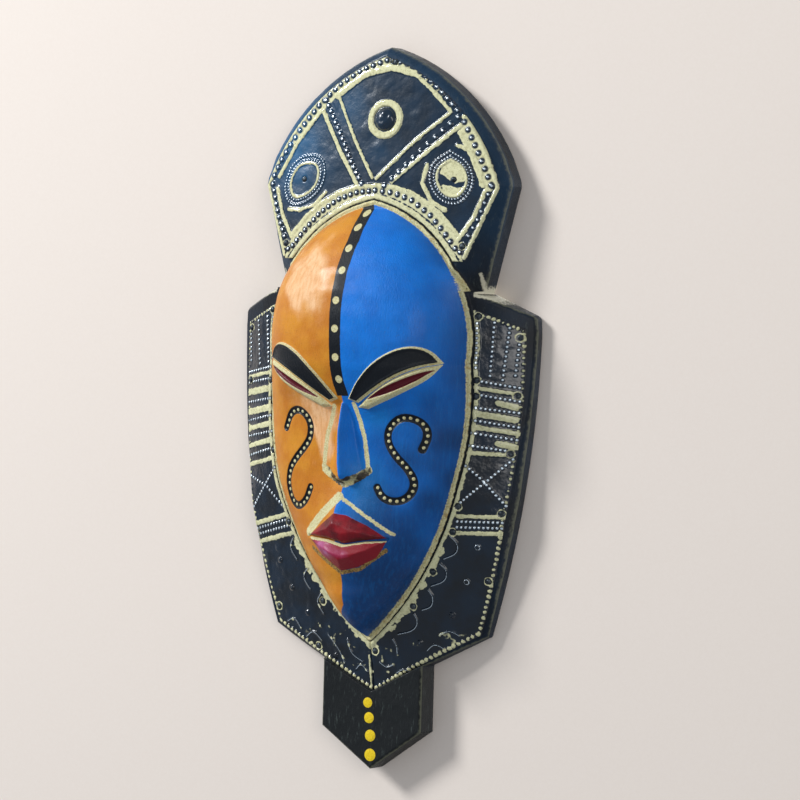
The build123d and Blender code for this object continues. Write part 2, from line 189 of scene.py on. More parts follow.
# The face's middle line from the side, as (height, depth), without nose and lips.
FACE_PROFILE = (
    (70, 18), (73, 27), (78.6, 35.7), (84, 40), (92, 43.5), (107, 45), (121, 45.5), (154, 45),
    (170, 45.5), (185, 46.5), (194, 49.5), (203, 55), (212, 58.8), (225, 60), (238, 60),
    (250, 58.5), (262, 55), (273.5, 49), (285, 39), (292, 29), (297, 21.5),
)
NOSE_PROFILE = ((148, 44), (151.5, 47), (154, 52.5), (158, 53.5), (179, 55.5), (192, 53), (199, 50))
NOSE_WIDTH = ((148, 12.5), (154, 12), (158, 11.3), (170, 8), (185, 5), (199, 3.5))


def follow(pairs, value):
    """A smoothed curve through given points."""
    at, what = (np.array(v, float) for v in zip(*pairs))
    total = 0
    for shift in (-2.0, -1.0, 0.0, 1.0, 2.0):
        total = total + np.interp(value + shift, at, what)
    return total / 5


FACE_EDGE = face_outline()


def face_half_width(z):
    side = [(x, h) for x, h in FACE_EDGE if x >= 0]
    side.sort(key=lambda p: p[1])
    return np.interp(z, [h for _, h in side], [x for x, _ in side])


def face_depth(x, z):
    """The convex face without its nose, lips, lids and brows."""
    z = np.clip(z, FACE_TIP, FACE_TOP)
    half = np.maximum(face_half_width(z), 0.5)
    share = np.clip(np.abs(x) / half, 0, 1)
    edge = wood_front(np.clip(x, -half, half), z) + 1.0
    middle = np.maximum(follow(FACE_PROFILE, z), edge)
    return edge + (middle - edge) * (1 - share**2.1) ** 0.66


# ---------------------------------------------------------------- grids and meshes
class Grid:
    """A front-view grid whose points are moved onto an outline where they border it."""

    def __init__(self, low, high, step, outside):
        self.low, self.step = low, step
        xs = np.arange(low[0], high[0] + step, step)
        zs = np.arange(low[1], high[1] + step, step)
        self.x, self.z = np.meshgrid(xs, zs)
        gap = outside(self.x, self.z)
        cells = (gap[:-1, :-1] + gap[:-1, 1:] + gap[1:, :-1] + gap[1:, 1:]) < 0
        for _ in range(2):
            a, b, c, d = cells[:-1, :-1], cells[:-1, 1:], cells[1:, :-1], cells[1:, 1:]
            lone = (a & d & ~b & ~c) | (b & c & ~a & ~d)
            for part in (a, b, c, d):
                part |= lone
        self.cells = cells
        used = np.zeros(gap.shape, int)
        for rows in (slice(0, -1), slice(1, None)):
            for cols in (slice(0, -1), slice(1, None)):
                used[rows, cols] += cells
        self.used = used > 0
        border = self.used & (used < 4)
        slope_z, slope_x = np.gradient(gap, step)
        size = np.maximum(slope_x**2 + slope_z**2, 0.25)
        pull = np.where(border, np.clip(gap, -1.5 * step, 1.5 * step) / size, 0)
        self.x = self.x - pull * slope_x
        self.z = self.z - pull * slope_z

    def near(self, x, z, reach):
        """The window of the grid within reach of a point."""
        col, row = ((v - low) / self.step for v, low in zip((x, z), self.low))
        span = reach / self.step + 2
        return (
            slice(max(0, int(row - span)), max(0, int(row + span) + 1)),
            slice(max(0, int(col - span)), max(0, int(col + span) + 1)),
        )

    def around(self, points, reach):
        """The window of the grid within reach of an outline or a line."""
        xs, zs = zip(*points)
        low = self.near(min(xs), min(zs), reach)
        high = self.near(max(xs), max(zs), reach)
        return slice(low[0].start, high[0].stop), slice(low[1].start, high[1].stop)

    def from_dots(self, places, reach=4.0):
        """Distance to the nearest of many places, or reach where that is nearer."""
        out = np.full(self.x.shape, float(reach))
        for x, z in places:
            window = self.near(x, z, reach)
            away = np.hypot(self.x[window] - x, self.z[window] - z)
            out[window] = np.minimum(out[window], away)
        return out

    def from_line(self, points, reach=6.0):
        """Distance to a line, or reach where that is nearer."""
        window = self.around(points, reach)
        out = np.full(self.x.shape, float(reach))
        away = distance(points, self.x[window], self.z[window])
        out[window] = np.minimum(away, reach)
        return out

    def from_lines(self, lines, reach=6.0):
        out = np.full(self.x.shape, float(reach))
        for points in lines:
            out = np.minimum(out, self.from_line(points, reach))
        return out

    def within(self, points, reach=6.0):
        """Distance inside a closed outline, positive inside."""
        window = self.around(points, reach)
        out = np.full(self.x.shape, -float(reach))
        out[window] = np.maximum(-inside(points, self.x[window], self.z[window]), -reach)
        return out


def noise(x, z, scale, seed):
    """Smooth random waves about scale wide, from -1 to 1."""
    count = 64
    table = np.random.default_rng(seed).uniform(-1, 1, (count, count))
    u, v = x / scale + 200, z / scale + 200
    i, j = np.floor(u).astype(int), np.floor(v).astype(int)
    fu, fv = u - i, v - j
    fu, fv = fu * fu * (3 - 2 * fu), fv * fv * (3 - 2 * fv)
    i, j = i % count, j % count
    i2, j2 = (i + 1) % count, (j + 1) % count
    low = table[j, i] * (1 - fu) + table[j, i2] * fu
    high = table[j2, i] * (1 - fu) + table[j2, i2] * fu
    return low * (1 - fv) + high * fv


def along(points, step, start=0.0):
    """Evenly spaced places along a line."""
    at = np.array(points, float)
    run = np.concatenate([[0], np.cumsum(np.hypot(*np.diff(at, axis=0).T))])
    count = max(2, int(round((run[-1] - start) / step)) + 1)
    stops = np.linspace(start, run[-1], count)
    return list(zip(np.interp(stops, run, at[:, 0]), np.interp(stops, run, at[:, 1])))


def curve(points, rounds=3):
    """A line given as points, with its corners smoothed."""
    for _ in range(rounds):
        cut = [points[0]]
        for (ax, az), (bx, bz) in zip(points[:-1], points[1:]):
            cut.append((0.75 * ax + 0.25 * bx, 0.75 * az + 0.25 * bz))
            cut.append((0.25 * ax + 0.75 * bx, 0.25 * az + 0.75 * bz))
        points = cut + [points[-1]]
    return points


def to_metres(x, depth, height):
    return np.stack([x, -depth, height - HANG_HEIGHT], -1) / 1000


def new_mesh(name, points, quads, smooth=True):
    mesh = bpy.data.meshes.new(name)
    mesh.vertices.add(len(points))
    mesh.vertices.foreach_set("co", np.asarray(points, np.float32).ravel())
    mesh.loops.add(4 * len(quads))
    mesh.loops.foreach_set("vertex_index", np.asarray(quads, np.int32).ravel())
    mesh.polygons.add(len(quads))
    mesh.polygons.foreach_set("loop_start", np.arange(0, 4 * len(quads), 4, dtype=np.int32))
    mesh.polygons.foreach_set("use_smooth", np.full(len(quads), smooth))
    mesh.update(calc_edges=True)
    mesh.validate()
    piece = bpy.data.objects.new(name, mesh)
    bpy.context.scene.collection.objects.link(piece)
    return piece


def slab(name, grid, front, back, fields, layers):
    """A closed piece between two depths over the grid's cells, with fields kept on its points."""
    order = np.full(grid.x.shape, -1)
    order[grid.used] = np.arange(grid.used.sum())
    count = int(grid.used.sum())
    x, z = grid.x[grid.used], grid.z[grid.used]
    points = [to_metres(x, front[grid.used], z), to_metres(x, back[grid.used], z)]
    rows, cols = np.nonzero(grid.cells)
    corners = np.stack(
        [order[rows, cols], order[rows, cols + 1], order[rows + 1, cols + 1], order[rows + 1, cols]],
        -1,
    )
    quads = [corners, corners[:, ::-1] + count]
    padded = np.pad(grid.cells, 1)
    edges = []
    for (dr, dc), (a, b) in {
        (-1, 0): (0, 1), (0, 1): (1, 2), (1, 0): (2, 3), (0, -1): (3, 0),
    }.items():
        bare = ~padded[rows + 1 + dr, cols + 1 + dc]
        edges.append(corners[bare][:, [a, b]])
    edges = np.concatenate(edges)
    border = np.unique(edges)
    level = {0: np.arange(count), layers: np.arange(count) + count}
    total = 2 * count
    for n in range(1, layers):
        share = n / layers
        points.append((1 - share) * points[0][border] + share * points[1][border])
        level[n] = np.full(count, -1)
        level[n][border] = total + np.arange(len(border))
        total += len(border)
    for n in range(layers):
        up, down = level[n], level[n + 1]
        a, b = edges[:, 0], edges[:, 1]
        quads.append(np.stack([up[b], up[a], down[a], down[b]], -1))
    piece = new_mesh(name, np.concatenate(points), np.concatenate(quads))
    for key, field in fields.items():
        flat = field[grid.used]
        values = [flat, flat] + [flat[border]] * (layers - 1)
        keep(piece, key, np.concatenate(values))
    edge_of = [np.zeros(count), np.ones(count)]
    edge_of += [np.full(len(border), n / layers) for n in range(1, layers)]
    keep(piece, "behind", np.concatenate(edge_of))
    return piece


def keep(piece, key, values):
    attribute = piece.data.attributes.new(key, "FLOAT", "POINT")
    attribute.data.foreach_set("value", np.asarray(values, np.float32))


# ---------------------------------------------------------------- carved wood
def bump(x, z, centre, wide, high):
    return np.exp(-(((x - centre[0]) / wide) ** 2) - ((z - centre[1]) / high) ** 2)


def both(points):
    return [points, [(-LEFT_NARROWER * x, z) for x, z in points]]


BROW = curve([
    (3, 195.5), (12.5, 207.5), (25, 218.8), (38, 224.4), (47.5, 222.6), (52.2, 215.2),
    (52.2, 215.2), (42.5, 212.8), (31, 207.5), (18, 199.5), (8.5, 193.5),
], 2)
LID = curve([
    (8, 191.3), (18, 199.3), (31, 207.2), (43, 212.6), (52, 214.8), (52, 214.8), (46.5, 206.4),
    (32, 198.4), (14, 190.6),
], 2)
SLIT = curve([
    (15.5, 195.8), (23, 200.6), (31, 204.6), (44, 210.2), (49, 211.6), (49, 211.6), (42, 206),
    (29, 199.8), (15.5, 195.8),
], 2)
UPPER_LIP = [
    (-21.7, 123.4), (-12, 130.5), (-4.5, 135.8), (2.5, 135), (14, 130.3), (24.3, 124), (14, 122.6),
    (2, 120.4), (-8, 122.6),
]
LOWER_LIP = [
    (-21.7, 122.8), (-13, 114), (-0.8, 106), (9, 108.4), (18.5, 113.6), (24.3, 122.6), (14, 122),
    (2, 119.8), (-8, 122),
]
MOUTH_LINE = [(-21.7, 123.2), (-8, 122.4), (2, 120.2), (14, 122.4), (24.3, 123.4)]
SCAR_RIGHT = curve([
    (41.5, 170.5), (44.5, 177.5), (42.8, 183.5), (37, 186.8), (30.5, 186.6), (24.2, 181),
    (23.6, 173.5), (28, 166.5), (34.2, 160.6), (37.6, 154.2), (36.6, 148.4), (32.5, 144),
    (26.5, 142.8), (20.8, 145.2), (18.2, 150),
])
SCAR_LEFT = curve([
    (-40.2, 179), (-36.5, 187.2), (-29, 189.4), (-22.6, 183), (-22.8, 174.5), (-27, 169.2),
    (-33.5, 162.8), (-38, 157), (-39.6, 150), (-37.6, 141.6), (-31.8, 137.4), (-25.4, 141.4),
    (-22.6, 148.4),
])
BAND = [(-3.2, 297), (-0.4, 286), (0.6, 277), (-0.3, 262), (-0.8, 245), (-0.5, 225), (-0.4, 205), (0.4, 197)]
BAND_DOTS = [
    (-1.6, 292.3), (-0.6, 284.6), (-0.1, 273.5), (-0.3, 262), (-1, 246.4), (-0.6, 231.8),
    (-0.3, 217), (0.3, 205.6),
]
CHIN_DOTS = [(-1.8, 34.9, 2.7), (-0.8, 27, 2.9), (0.2, 17.6, 3.1), (0.4, 7.4, 3.3)]
COLOUR_LINE = [
    (-0.5, 300), (-0.5, 196), (-1.6, 162), (-0.4, 152), (-1.8, 145), (-4.4, 138), (-4.6, 128),
    (-1.6, 103), (-1.8, 88), (-7, 81), (-16, 75),
]
NOSE_LINES = [[(-6.3, 191.5), (-11.8, 176), (-14, 160)], [(5.8, 193), (10.8, 175), (12.8, 160)]]
FACE_LINES = {
    "philtrum_left": [(-2.6, 144.6), (-12.4, 135.8), (-22.5, 125.4)],
    "philtrum_right": [(-1, 144), (13.5, 134.8), (27, 126)],
    "under_nose": [(-13, 158.5), (-7, 154.6), (0, 151.4), (7, 154.6), (13, 158.5)],
    "under_lip": [(-20, 117), (-1, 105), (10, 107.4), (23, 117.6)],
}
NECK_RUB = [(59.5, 262), (60.5, 250.5), (66, 249.8), (76, 246.6), (86, 242.4)]


def nose_field(x, z):
    ridge, half = follow(NOSE_PROFILE, z), follow(NOSE_WIDTH, z)
    away = np.sqrt((x + 0.5) ** 2 + 0.5)
    side = ridge - away * (ridge - 44) / half
    floor = 152.2 + 0.44 * np.abs(x)
    under = ridge - 2.2 * np.maximum(floor + 0.8 - z, 0)
    return smooth_min(side, under, 1.0) - 1.6 * np.maximum(z - 193, 0)


def wood_fields(grid):
    """Depths and paint distances of the block of wood."""
    x, z = grid.x, grid.z
    face_in = -inside(face_outline(), x, z)
    crown_in = -inside(crown_outline(), x, z)
    flank_in = -inside(flank_outline(), x, z)
    block_in = -inside(block_outline(), x, z)
    column = -inside(block_outline(JAW), x, z)
    edge_in = np.maximum(np.maximum(crown_in, flank_in), column)
    surface = wood_front(x, z)
    chips = 0.35 * noise(x, z, 9, 1) + 0.2 * noise(x, z, 3.5, 2)
    flank_sides = [flank_arc() + [(JAW_HALF, JAW)]]
    flank_sides += [on_side(-1, flank_sides[0])]
    to_side = np.minimum(*[distance(side, x, z) for side in flank_sides])
    crown_cut = CROWN_EDGE + crown_in / math.tan(math.radians(CROWN_BEVEL)) + chips
    flank_cut = FLANK_EDGE + to_side / math.tan(math.radians(FLANK_BEVEL)) + chips
    crown = np.where(crown_in > -0.6, smooth_min(surface, crown_cut, 1.2), 0)
    flank = np.where(flank_in > -0.6, smooth_min(surface, flank_cut, 1.2), 0)
    under_sheets = z > 41 + np.abs(x) * 0.52
    chin = np.where(under_sheets, np.minimum(surface, BLOCK_THICK), BLOCK_THICK) + 0.3 * chips
    chin = np.where(block_in > -0.6, chin, 0)
    depth = np.maximum(np.maximum(crown, flank), chin)
    depth = depth - 1.1 * (1 - ease(0, 1.6, edge_in)) ** 2

    # the lip round the face, then the face itself
    lip = np.clip(1 - ((face_in + RIM_WIDTH / 2) / (RIM_WIDTH / 2 + 0.15)) ** 2, 0, 1)
    lip_wave = 0.8 + 0.2 * noise(x, z, 5, 3) + 0.14 * noise(x, z, 1.8, 4)
    depth = depth + 2.0 * lip_wave * np.sqrt(lip)
    face = face_depth(x, z) + 0.22 * noise(x, z, 16, 5) + 0.1 * noise(x, z, 5, 6)
    muzzle = 4.2 * bump(x, z, (1, 124), 24, 19)
    face = face + muzzle - 1.1 * bump(x, z, (0, 99), 30, 5)
    face = smooth_max(face, nose_field(x, z), 0.8)
    ridge = grid.from_line([(-1.2, 149), (-3.5, 139), (-4, 134)], 12)
    face = face + 1.6 * np.exp(-((ridge / 5) ** 2))

    fields = {"face": face_in, "edge": edge_in}
    brow = np.maximum(*[grid.within(p, 6) for p in both(BROW)])
    lid = np.maximum(*[grid.within(p, 6) for p in both(LID)])
    slit = np.maximum(*[grid.within(p, 6) for p in both(SLIT)])
    face = face + 2.4 * ease(-0.2, 1.6, brow) - 1.0 * ease(0.6, 2.6, brow)
    face = face + 2.2 * ease(-0.2, 1.4, lid) - 1.7 * ease(-0.5, 1.0, slit)
    scar = 2.1 - np.minimum(grid.from_line(SCAR_RIGHT), grid.from_line(SCAR_LEFT))
    face = face - 0.9 * ease(-0.3, 1.3, scar)
    upper, lower = grid.within(UPPER_LIP, 6), grid.within(LOWER_LIP, 6)
    face = face + 4.2 * np.clip(upper / 5.0, 0, 1) ** 0.8
    face = face + 4.8 * np.clip(lower / 5.6, 0, 1) ** 0.8
    crease = grid.from_line(MOUTH_LINE)
    face = face + 1.4 * np.exp(-((crease / 3.2) ** 2)) - 1.9 * np.exp(-((crease / 0.75) ** 2))
    dents = grid.from_dots(along(SCAR_RIGHT, 3.3, 1) + along(SCAR_LEFT, 3.3, 1))
    face = face + 0.45 * (1 - ease(0.3, 1.2, dents))
    depth = np.where(face_in > 0, np.maximum(depth, face), depth)

    band = grid.from_line(BAND, 9)
    fields["band"] = np.minimum(3.4 - band, z - 197)
    dots = 2.0 - grid.from_dots(BAND_DOTS)
    fields["dots"] = np.maximum(dots, 0.85 - dents)
    fields["scar"] = scar
    fields["brow"], fields["lid"], fields["slit"] = brow, lid, slit
    fields["upper_lip"], fields["lower_lip"], fields["crease"] = upper, lower, crease
    right = [(200, 300), (200, 60), (-16, 60)] + COLOUR_LINE[::-1]
    fields["blue"] = -inside(right, x, z)
    fields["nose_line"] = grid.from_lines(NOSE_LINES)
    for key, points in FACE_LINES.items():
        fields[key] = grid.from_line(points)
    worn = bump(x, z, (-23, 256), 15, 22) + bump(x, z, (-15, 186), 9, 11)
    worn = worn + 0.8 * bump(x, z, (-13, 168), 5, 12) + 0.5 * bump(x, z, (-30, 196), 14, 7)
    fields["worn"] = worn + 0.25 * noise(x, z, 7, 7)
    # painted shade, partly the paint's own darker tone: the blue darkens on the chin, the cheek and the right
    # edge, and stays light down the nose
    tone_and_painted_shade = bump(x, z, (8, 92), 44, 34) + 0.5 * bump(x, z, (58, 190), 11, 90)
    tone_and_painted_shade = tone_and_painted_shade + 0.62 * bump(x, z, (32, 156), 28, 44) - 0.5 * bump(x, z, (3, 172), 6, 22)
    fields["tone_and_painted_shade"] = tone_and_painted_shade + 0.2 * noise(x, z, 11, 8)
    fields["teal"] = bump(x, z, (12, 148), 14, 22) + 0.7 * bump(x, z, (20, 186), 16, 9)
    fields["block"] = ease(58, 53, z)
    fields["mauve"] = bump(x, z, (-11, 117), 9, 6) + 0.5 * bump(x, z, (3, 115), 6, 3)
    yellow = np.full(x.shape, -4.0)
    for dot_x, dot_z, radius in CHIN_DOTS:
        yellow = np.maximum(yellow, radius - np.hypot(x - dot_x, z - dot_z))
    fields["yellow"] = yellow
    depth = depth + 0.25 * ease(0, 1.2, yellow) * (z < 45)
    fields["rub"] = np.minimum(*[grid.from_line(on_side(side, NECK_RUB)) for side in (1, -1)])
    # painted reflection of bluish light on the crown's wood, strongest on the left
    fields["painted_reflection"] = ease(252, 300, z) * (0.28 + 0.72 * ease(-24, -60, x))
    return depth, fields


def wood_back(grid):
    """Depth of the back: flat on the wall, hollow behind the face, a pocket for the hanger."""
    x, z = grid.x, grid.z
    shrunk = -inside(face_outline(-HOLLOW_WALL), x, z)
    profile = follow(FACE_PROFILE, np.clip(z, FACE_TIP, FACE_TOP)) - HOLLOW_WALL
    across = np.sqrt(np.maximum(HOLLOW_ROUND**2 - x**2, 0)) - HOLLOW_SINK
    gouges = 0.5 * noise(x, z, 6, 11) + 0.25 * noise(x, z, 2.5, 12)
    hollow = np.clip(np.minimum(profile, across) + gouges, 0, None) * ease(0, 5, shrunk)
    pocket = np.minimum(RECESS_HALF - np.abs(x), np.minimum(z - RECESS_LOW, RECESS_HIGH - z))
    return np.maximum(hollow, RECESS_DEPTH * ease(-0.2, 0.4, pocket))


# ---------------------------------------------------------------- embossed sheets
SHEET_TOP_RISE = (NECK - FLANK_TOP) / (FLANK_HALF - NECK_HALF)


def crown_sheet_outline():
    side = crown_arc(5.0) + [(70.5, 307.0), (55.0, 268.0)]
    return mirror(side + [(0, 268.0)])


def flank_sheet_outline(side):
    right = [(0.15, 215), (60, 215), (60, 234 + SHEET_TOP_RISE * 24), (84, 234)]
    right += arc((84, FLANK_TOP), (80.25, 156.5), (61.5, 74), 20)[1:]
    right += [(61.5, 74), (29, 57), (0.15, 41)]
    return on_side(side, right)


class Pattern:
    """Raised work on a sheet: how high it stands, what is rubbed cream, and which tops are rubbed to bare
    metal and painted pale as a highlight.
    """

    def __init__(self, grid):
        self.grid = grid
        self.wobble = 0.85 + 0.15 * noise(grid.x, grid.z, 2.2, 21)
        self.ragged = 0.28 * noise(grid.x, grid.z, 1.1, 22) + 0.2 * noise(grid.x, grid.z, 3.1, 23)
        waves = 0.2 + 0.8 * (1 - ease(108, 122, grid.z))
        self.relief = 0.14 * noise(grid.x, grid.z, 8, 24) + 0.42 * waves * noise(grid.x, grid.z, 4.2, 25)
        self.cream = np.full(grid.x.shape, -4.0)
        self.bead = np.zeros(grid.x.shape)
        self.rubbed_metal_and_highlight = np.zeros(grid.x.shape)

    def raise_to(self, height, share):
        self.relief = np.maximum(self.relief, height * share * self.wobble)

    def line(self, points, half=0.8, height=0.7):
        away = self.grid.from_line(points, 2 * half + 3)
        self.raise_to(height, rounded(away, 1.25 * half))
        self.cream = np.maximum(self.cream, half + self.ragged - away)

    def channel(self, points, half, depth=0.35):
        away = self.grid.from_line(points, half + 3)
        self.relief = self.relief - depth * (1 - ease(0.6 * half, half, away))

    def beads(self, points, step, radius=1.25, height=1.15):
        away = self.grid.from_dots(along(points, step))
        self.raise_to(height, rounded(away, radius))
        self.bead = np.maximum(self.bead, 1 - ease(radius + 0.1, radius + 0.75, away))
        # painted highlight on the bead's top, partly rubbed bare metal
        self.rubbed_metal_and_highlight = np.maximum(self.rubbed_metal_and_highlight, 0.95 * (1 - ease(0.15, 0.8 * radius, away)))

    def dots(self, points, step, radius=0.85, height=0.7, rubbed_metal_and_highlight=1.0):
        away = self.grid.from_dots(along(points, step))
        self.raise_to(height, rounded(away, radius))
        self.bead = np.maximum(self.bead, 0.9 * (1 - ease(radius, radius + 0.6, away)))
        # painted highlight on the dot's top, partly rubbed bare metal
        lit = rubbed_metal_and_highlight * (1 - ease(0.45 * radius, 1.05 * radius, away))
        self.rubbed_metal_and_highlight = np.maximum(self.rubbed_metal_and_highlight, lit)

    def smear(self, points, half):
        """Cream left in the corner along a line, in blotches."""
        x, z = self.grid.x, self.grid.z
        blotches = 1.7 * noise(x, z, 3.4, 26) + 0.8 * noise(x, z, 1.3, 27)
        away = self.grid.from_line(points, 6)
        self.cream = np.maximum(self.cream, np.where(away < 5, half + blotches - away, -4.0))

    def dashes(self, points, step=2.6, radius=0.95, height=0.6):
        away = self.grid.from_dots(along(points, step))
        self.raise_to(height, rounded(away, 1.3 * radius))
        self.cream = np.maximum(self.cream, radius + 1.2 * self.ragged - away)

    def crescent(self, points, half=0.55):
        away = self.grid.from_line(curve(points), 5)
        self.raise_to(0.9, rounded(away, 1.4 * half))
        # painted highlight along the crescent's ridge, partly rubbed bare metal
        self.rubbed_metal_and_highlight = np.maximum(self.rubbed_metal_and_highlight, 1 - ease(0.0, 0.3, away))

    def patch(self, points, height=0.3):
        depth = self.grid.within(points)
        self.raise_to(height, ease(-0.2, 0.8, depth))
        self.cream = np.maximum(self.cream, depth + self.ragged)

    def dome(self, x, z, ringed, radius=1.7, height=1.5):
        away = self.grid.from_dots([(x, z)], 6)
        self.raise_to(height, rounded(away, radius))
        shine = np.abs(away - 0.75 * radius) if ringed else away
        # painted highlight on the dome, a thin ring on ringed ones, partly rubbed bare metal
        self.rubbed_metal_and_highlight = np.maximum(self.rubbed_metal_and_highlight, 1 - ease(0.0, 0.32, shine))

    def make_room(self, nails, plain):
        """Flat seats, with a rubbed ring round the head of each nail that isn't plain."""
        away = self.grid.from_dots(nails, 6)
        self.relief = self.relief * ease(1.5, 2.2, away)
        ringed = self.grid.from_dots([place for place in nails if place not in plain], 6)
        ring = 0.4 - np.abs(ringed - 1.95)
        self.cream = np.where(away < 1.7, -2.0, np.maximum(self.cream, ring + self.ragged))
        self.bead = self.bead * ease(1.5, 2.4, away)
        self.rubbed_metal_and_highlight = self.rubbed_metal_and_highlight * ease(1.5, 2.4, away)

    def fields(self):
        return {"cream": self.cream, "bead": self.bead, "rubbed_metal_and_highlight": self.rubbed_metal_and_highlight}


def emboss_crown(pattern):
    for side in (-1, 1):
        outer = on_side(side, crown_arc(6.3) + [(69.4, 306.6)])
        low = on_side(side, [(69.2, 306), (54.6, 270)])
        if side < 0:
            pattern.line(outer, 1.0)
        else:
            pattern.line(outer[:3], 0.9)
            pattern.dashes(outer[2:9], 4.3, 0.7)
            pattern.line(outer[8:], 1.1)
        pattern.line(low, 1.0)
        pattern.line(on_side(side, [(63.2, 305), (57.8, 290.5), (50.6, 279.5)]), 1.1)
        low_beads = on_side(side, [(66.6, 307.5), (60.6, 290.5), (52.2, 273)])
        pattern.beads(low_beads, 4.4 + 0.5 * side, 1.35)

    # left and top border, with its thick inner line
    pattern.line([(-62.6, 311.5), (-52, 329.5), (-39, 345.5)], 1.0)
    pattern.line([(-28.5, 354.5), (-12.5, 365.6), (3.8, 369.2), (17.5, 366)], 1.7)
    pattern.line([(17.5, 366), (27.8, 358), (39.8, 346.4)], 1.1)
    pattern.beads([(-66, 312), (-61.4, 321.5), (-51.4, 336)], 4.8, 1.4)
    pattern.beads([(-51.4, 336), (-40.5, 348.6), (-27.6, 360.2), (-13.5, 368.4), (0.5, 373)], 4.4, 1.4)
    pattern.beads([(4, 373), (15.5, 370.4), (25, 364.4), (35, 355.8), (44, 346.6)], 4.4, 1.4)
    pattern.line([(-37.5, 351.5), (-31, 357.6), (-22, 362.6)], 1.3)
    top_band = [(-55, 327), (-42, 342), (-28.5, 354.5), (-12.5, 365.6), (3.8, 369.2)]
    pattern.patch(top_band + [(0, 375.5), (-14.5, 370.8), (-28.5, 362.4), (-42, 350.6), (-56, 333.4)], 0.2)

    # right side band, rubbed nearly all over
    pattern.patch([(49, 346.5), (60.5, 331), (68.5, 309), (65, 302.5), (57, 318), (46.2, 335)])
    pattern.line([(46.3, 335), (54.3, 322.5), (61.6, 307.5)], 1.2)
    pattern.beads([(48.5, 340.6), (56, 327.4), (62.6, 315), (66, 308)], 4.9, 1.4)

    # the V of two beaded channels
    for inner, outer, middle, step in (
        (
            [(-27.4, 353.6), (-15, 330.6), (-2.4, 311)], [(-37, 346.4), (-23.8, 325), (-11.8, 308)],
            [(-35.6, 352), (-26, 336.3), (-15.6, 318.4), (-8.6, 308)], 3.5,
        ),
        (
            [(40.4, 345.8), (21.2, 330.6), (0, 310.6)], [(46.6, 339), (30, 326), (9.4, 309)],
            [(44.6, 343.2), (31.4, 331.4), (17.4, 318), (5.4, 307)], 5.1,
        ),
    ):
        pattern.channel(middle, 3.4)
        pattern.line(inner, 0.85)
        pattern.line(outer, 1.15)
        pattern.beads(middle, step, 1.4, 1.0)

    # the arch over the forehead
    arch = [(0, 306.8), (11, 306.2), (22, 303), (32.5, 297.6), (41.5, 290.6), (49.6, 281.8)]
    beads = [(0, 304.4), (11, 303.2), (22.5, 299.4), (33.5, 292), (42.4, 283), (49.4, 274.8)]
    for side in (-1, 1):
        rim = on_side(side, face_outline(6.4)[:17])
        foot = on_side(side, face_outline(4.4)[:19])
        top = on_side(side, arch)
        pattern.patch(rim + top[::-1], 0.25)
        pattern.line(foot, 1.4, 0.6)
        pattern.line(top, 1.2)
        pattern.beads(on_side(side, beads), 4.2 + 0.4 * side, 1.35)

    # leaf-shaped loops in the two side cells
    left = [
        (-57.2, 311), (-54.4, 318), (-46.5, 322.8), (-35.6, 322.4), (-31.8, 315), (-34, 304.4),
        (-44.4, 297), (-53.6, 296), (-58.4, 303.6), (-57.2, 311),
    ]
    right = [
        (42, 325.2), (52.5, 320), (57.2, 308.6), (50.6, 297.4), (39.2, 298.6), (31, 308.6),
        (32, 319.4), (42, 325.2),
    ]
    for loop, centre, step in ((left, (-46, 310), 1.75), (right, (44.5, 311), 1.8)):
        pattern.dots(curve(loop), step, rubbed_metal_and_highlight=0.6)
        inner = [(centre[0] + 0.82 * (x - centre[0]), centre[1] + 0.82 * (z - centre[1])) for x, z in loop]
        inmost = [(centre[0] + 0.7 * (x - centre[0]), centre[1] + 0.7 * (z - centre[1])) for x, z in loop]
        pattern.line(curve(inmost), 0.75)
        pattern.dots(curve(inner), step * 0.95, 0.75, rubbed_metal_and_highlight=0.6)
    pattern.patch([(37.5, 320), (45, 321.5), (52, 316), (52, 310), (46, 308.5), (37, 314)], 0.15)
    pattern.patch([(38.5, 308), (46, 306.5), (52, 306.5), (48.5, 300.5), (41, 301.5)], 0.15)
    pattern.line([(45.5, 328.4), (53.5, 325.6), (59.6, 316), (60.4, 308)], 1.0)
    pattern.line([(29.4, 318), (27.4, 308.5), (33.5, 299), (42, 294.4)], 1.1)
    pattern.line([(-31, 303), (-37.5, 296.4), (-47, 293.6), (-54, 294)], 0.9)

    # the boss in the top cell, in a flat cream ring
    away = pattern.grid.from_dots([(2.3, 341.9)], 14)
    ring = 1.85 - np.abs(away - 8.6)
    pattern.raise_to(0.9, ease(-0.2, 0.8, ring))
    pattern.cream = np.maximum(pattern.cream, ring + 0.6 * pattern.ragged)
    pattern.raise_to(3.4, rounded(away, 6.0))


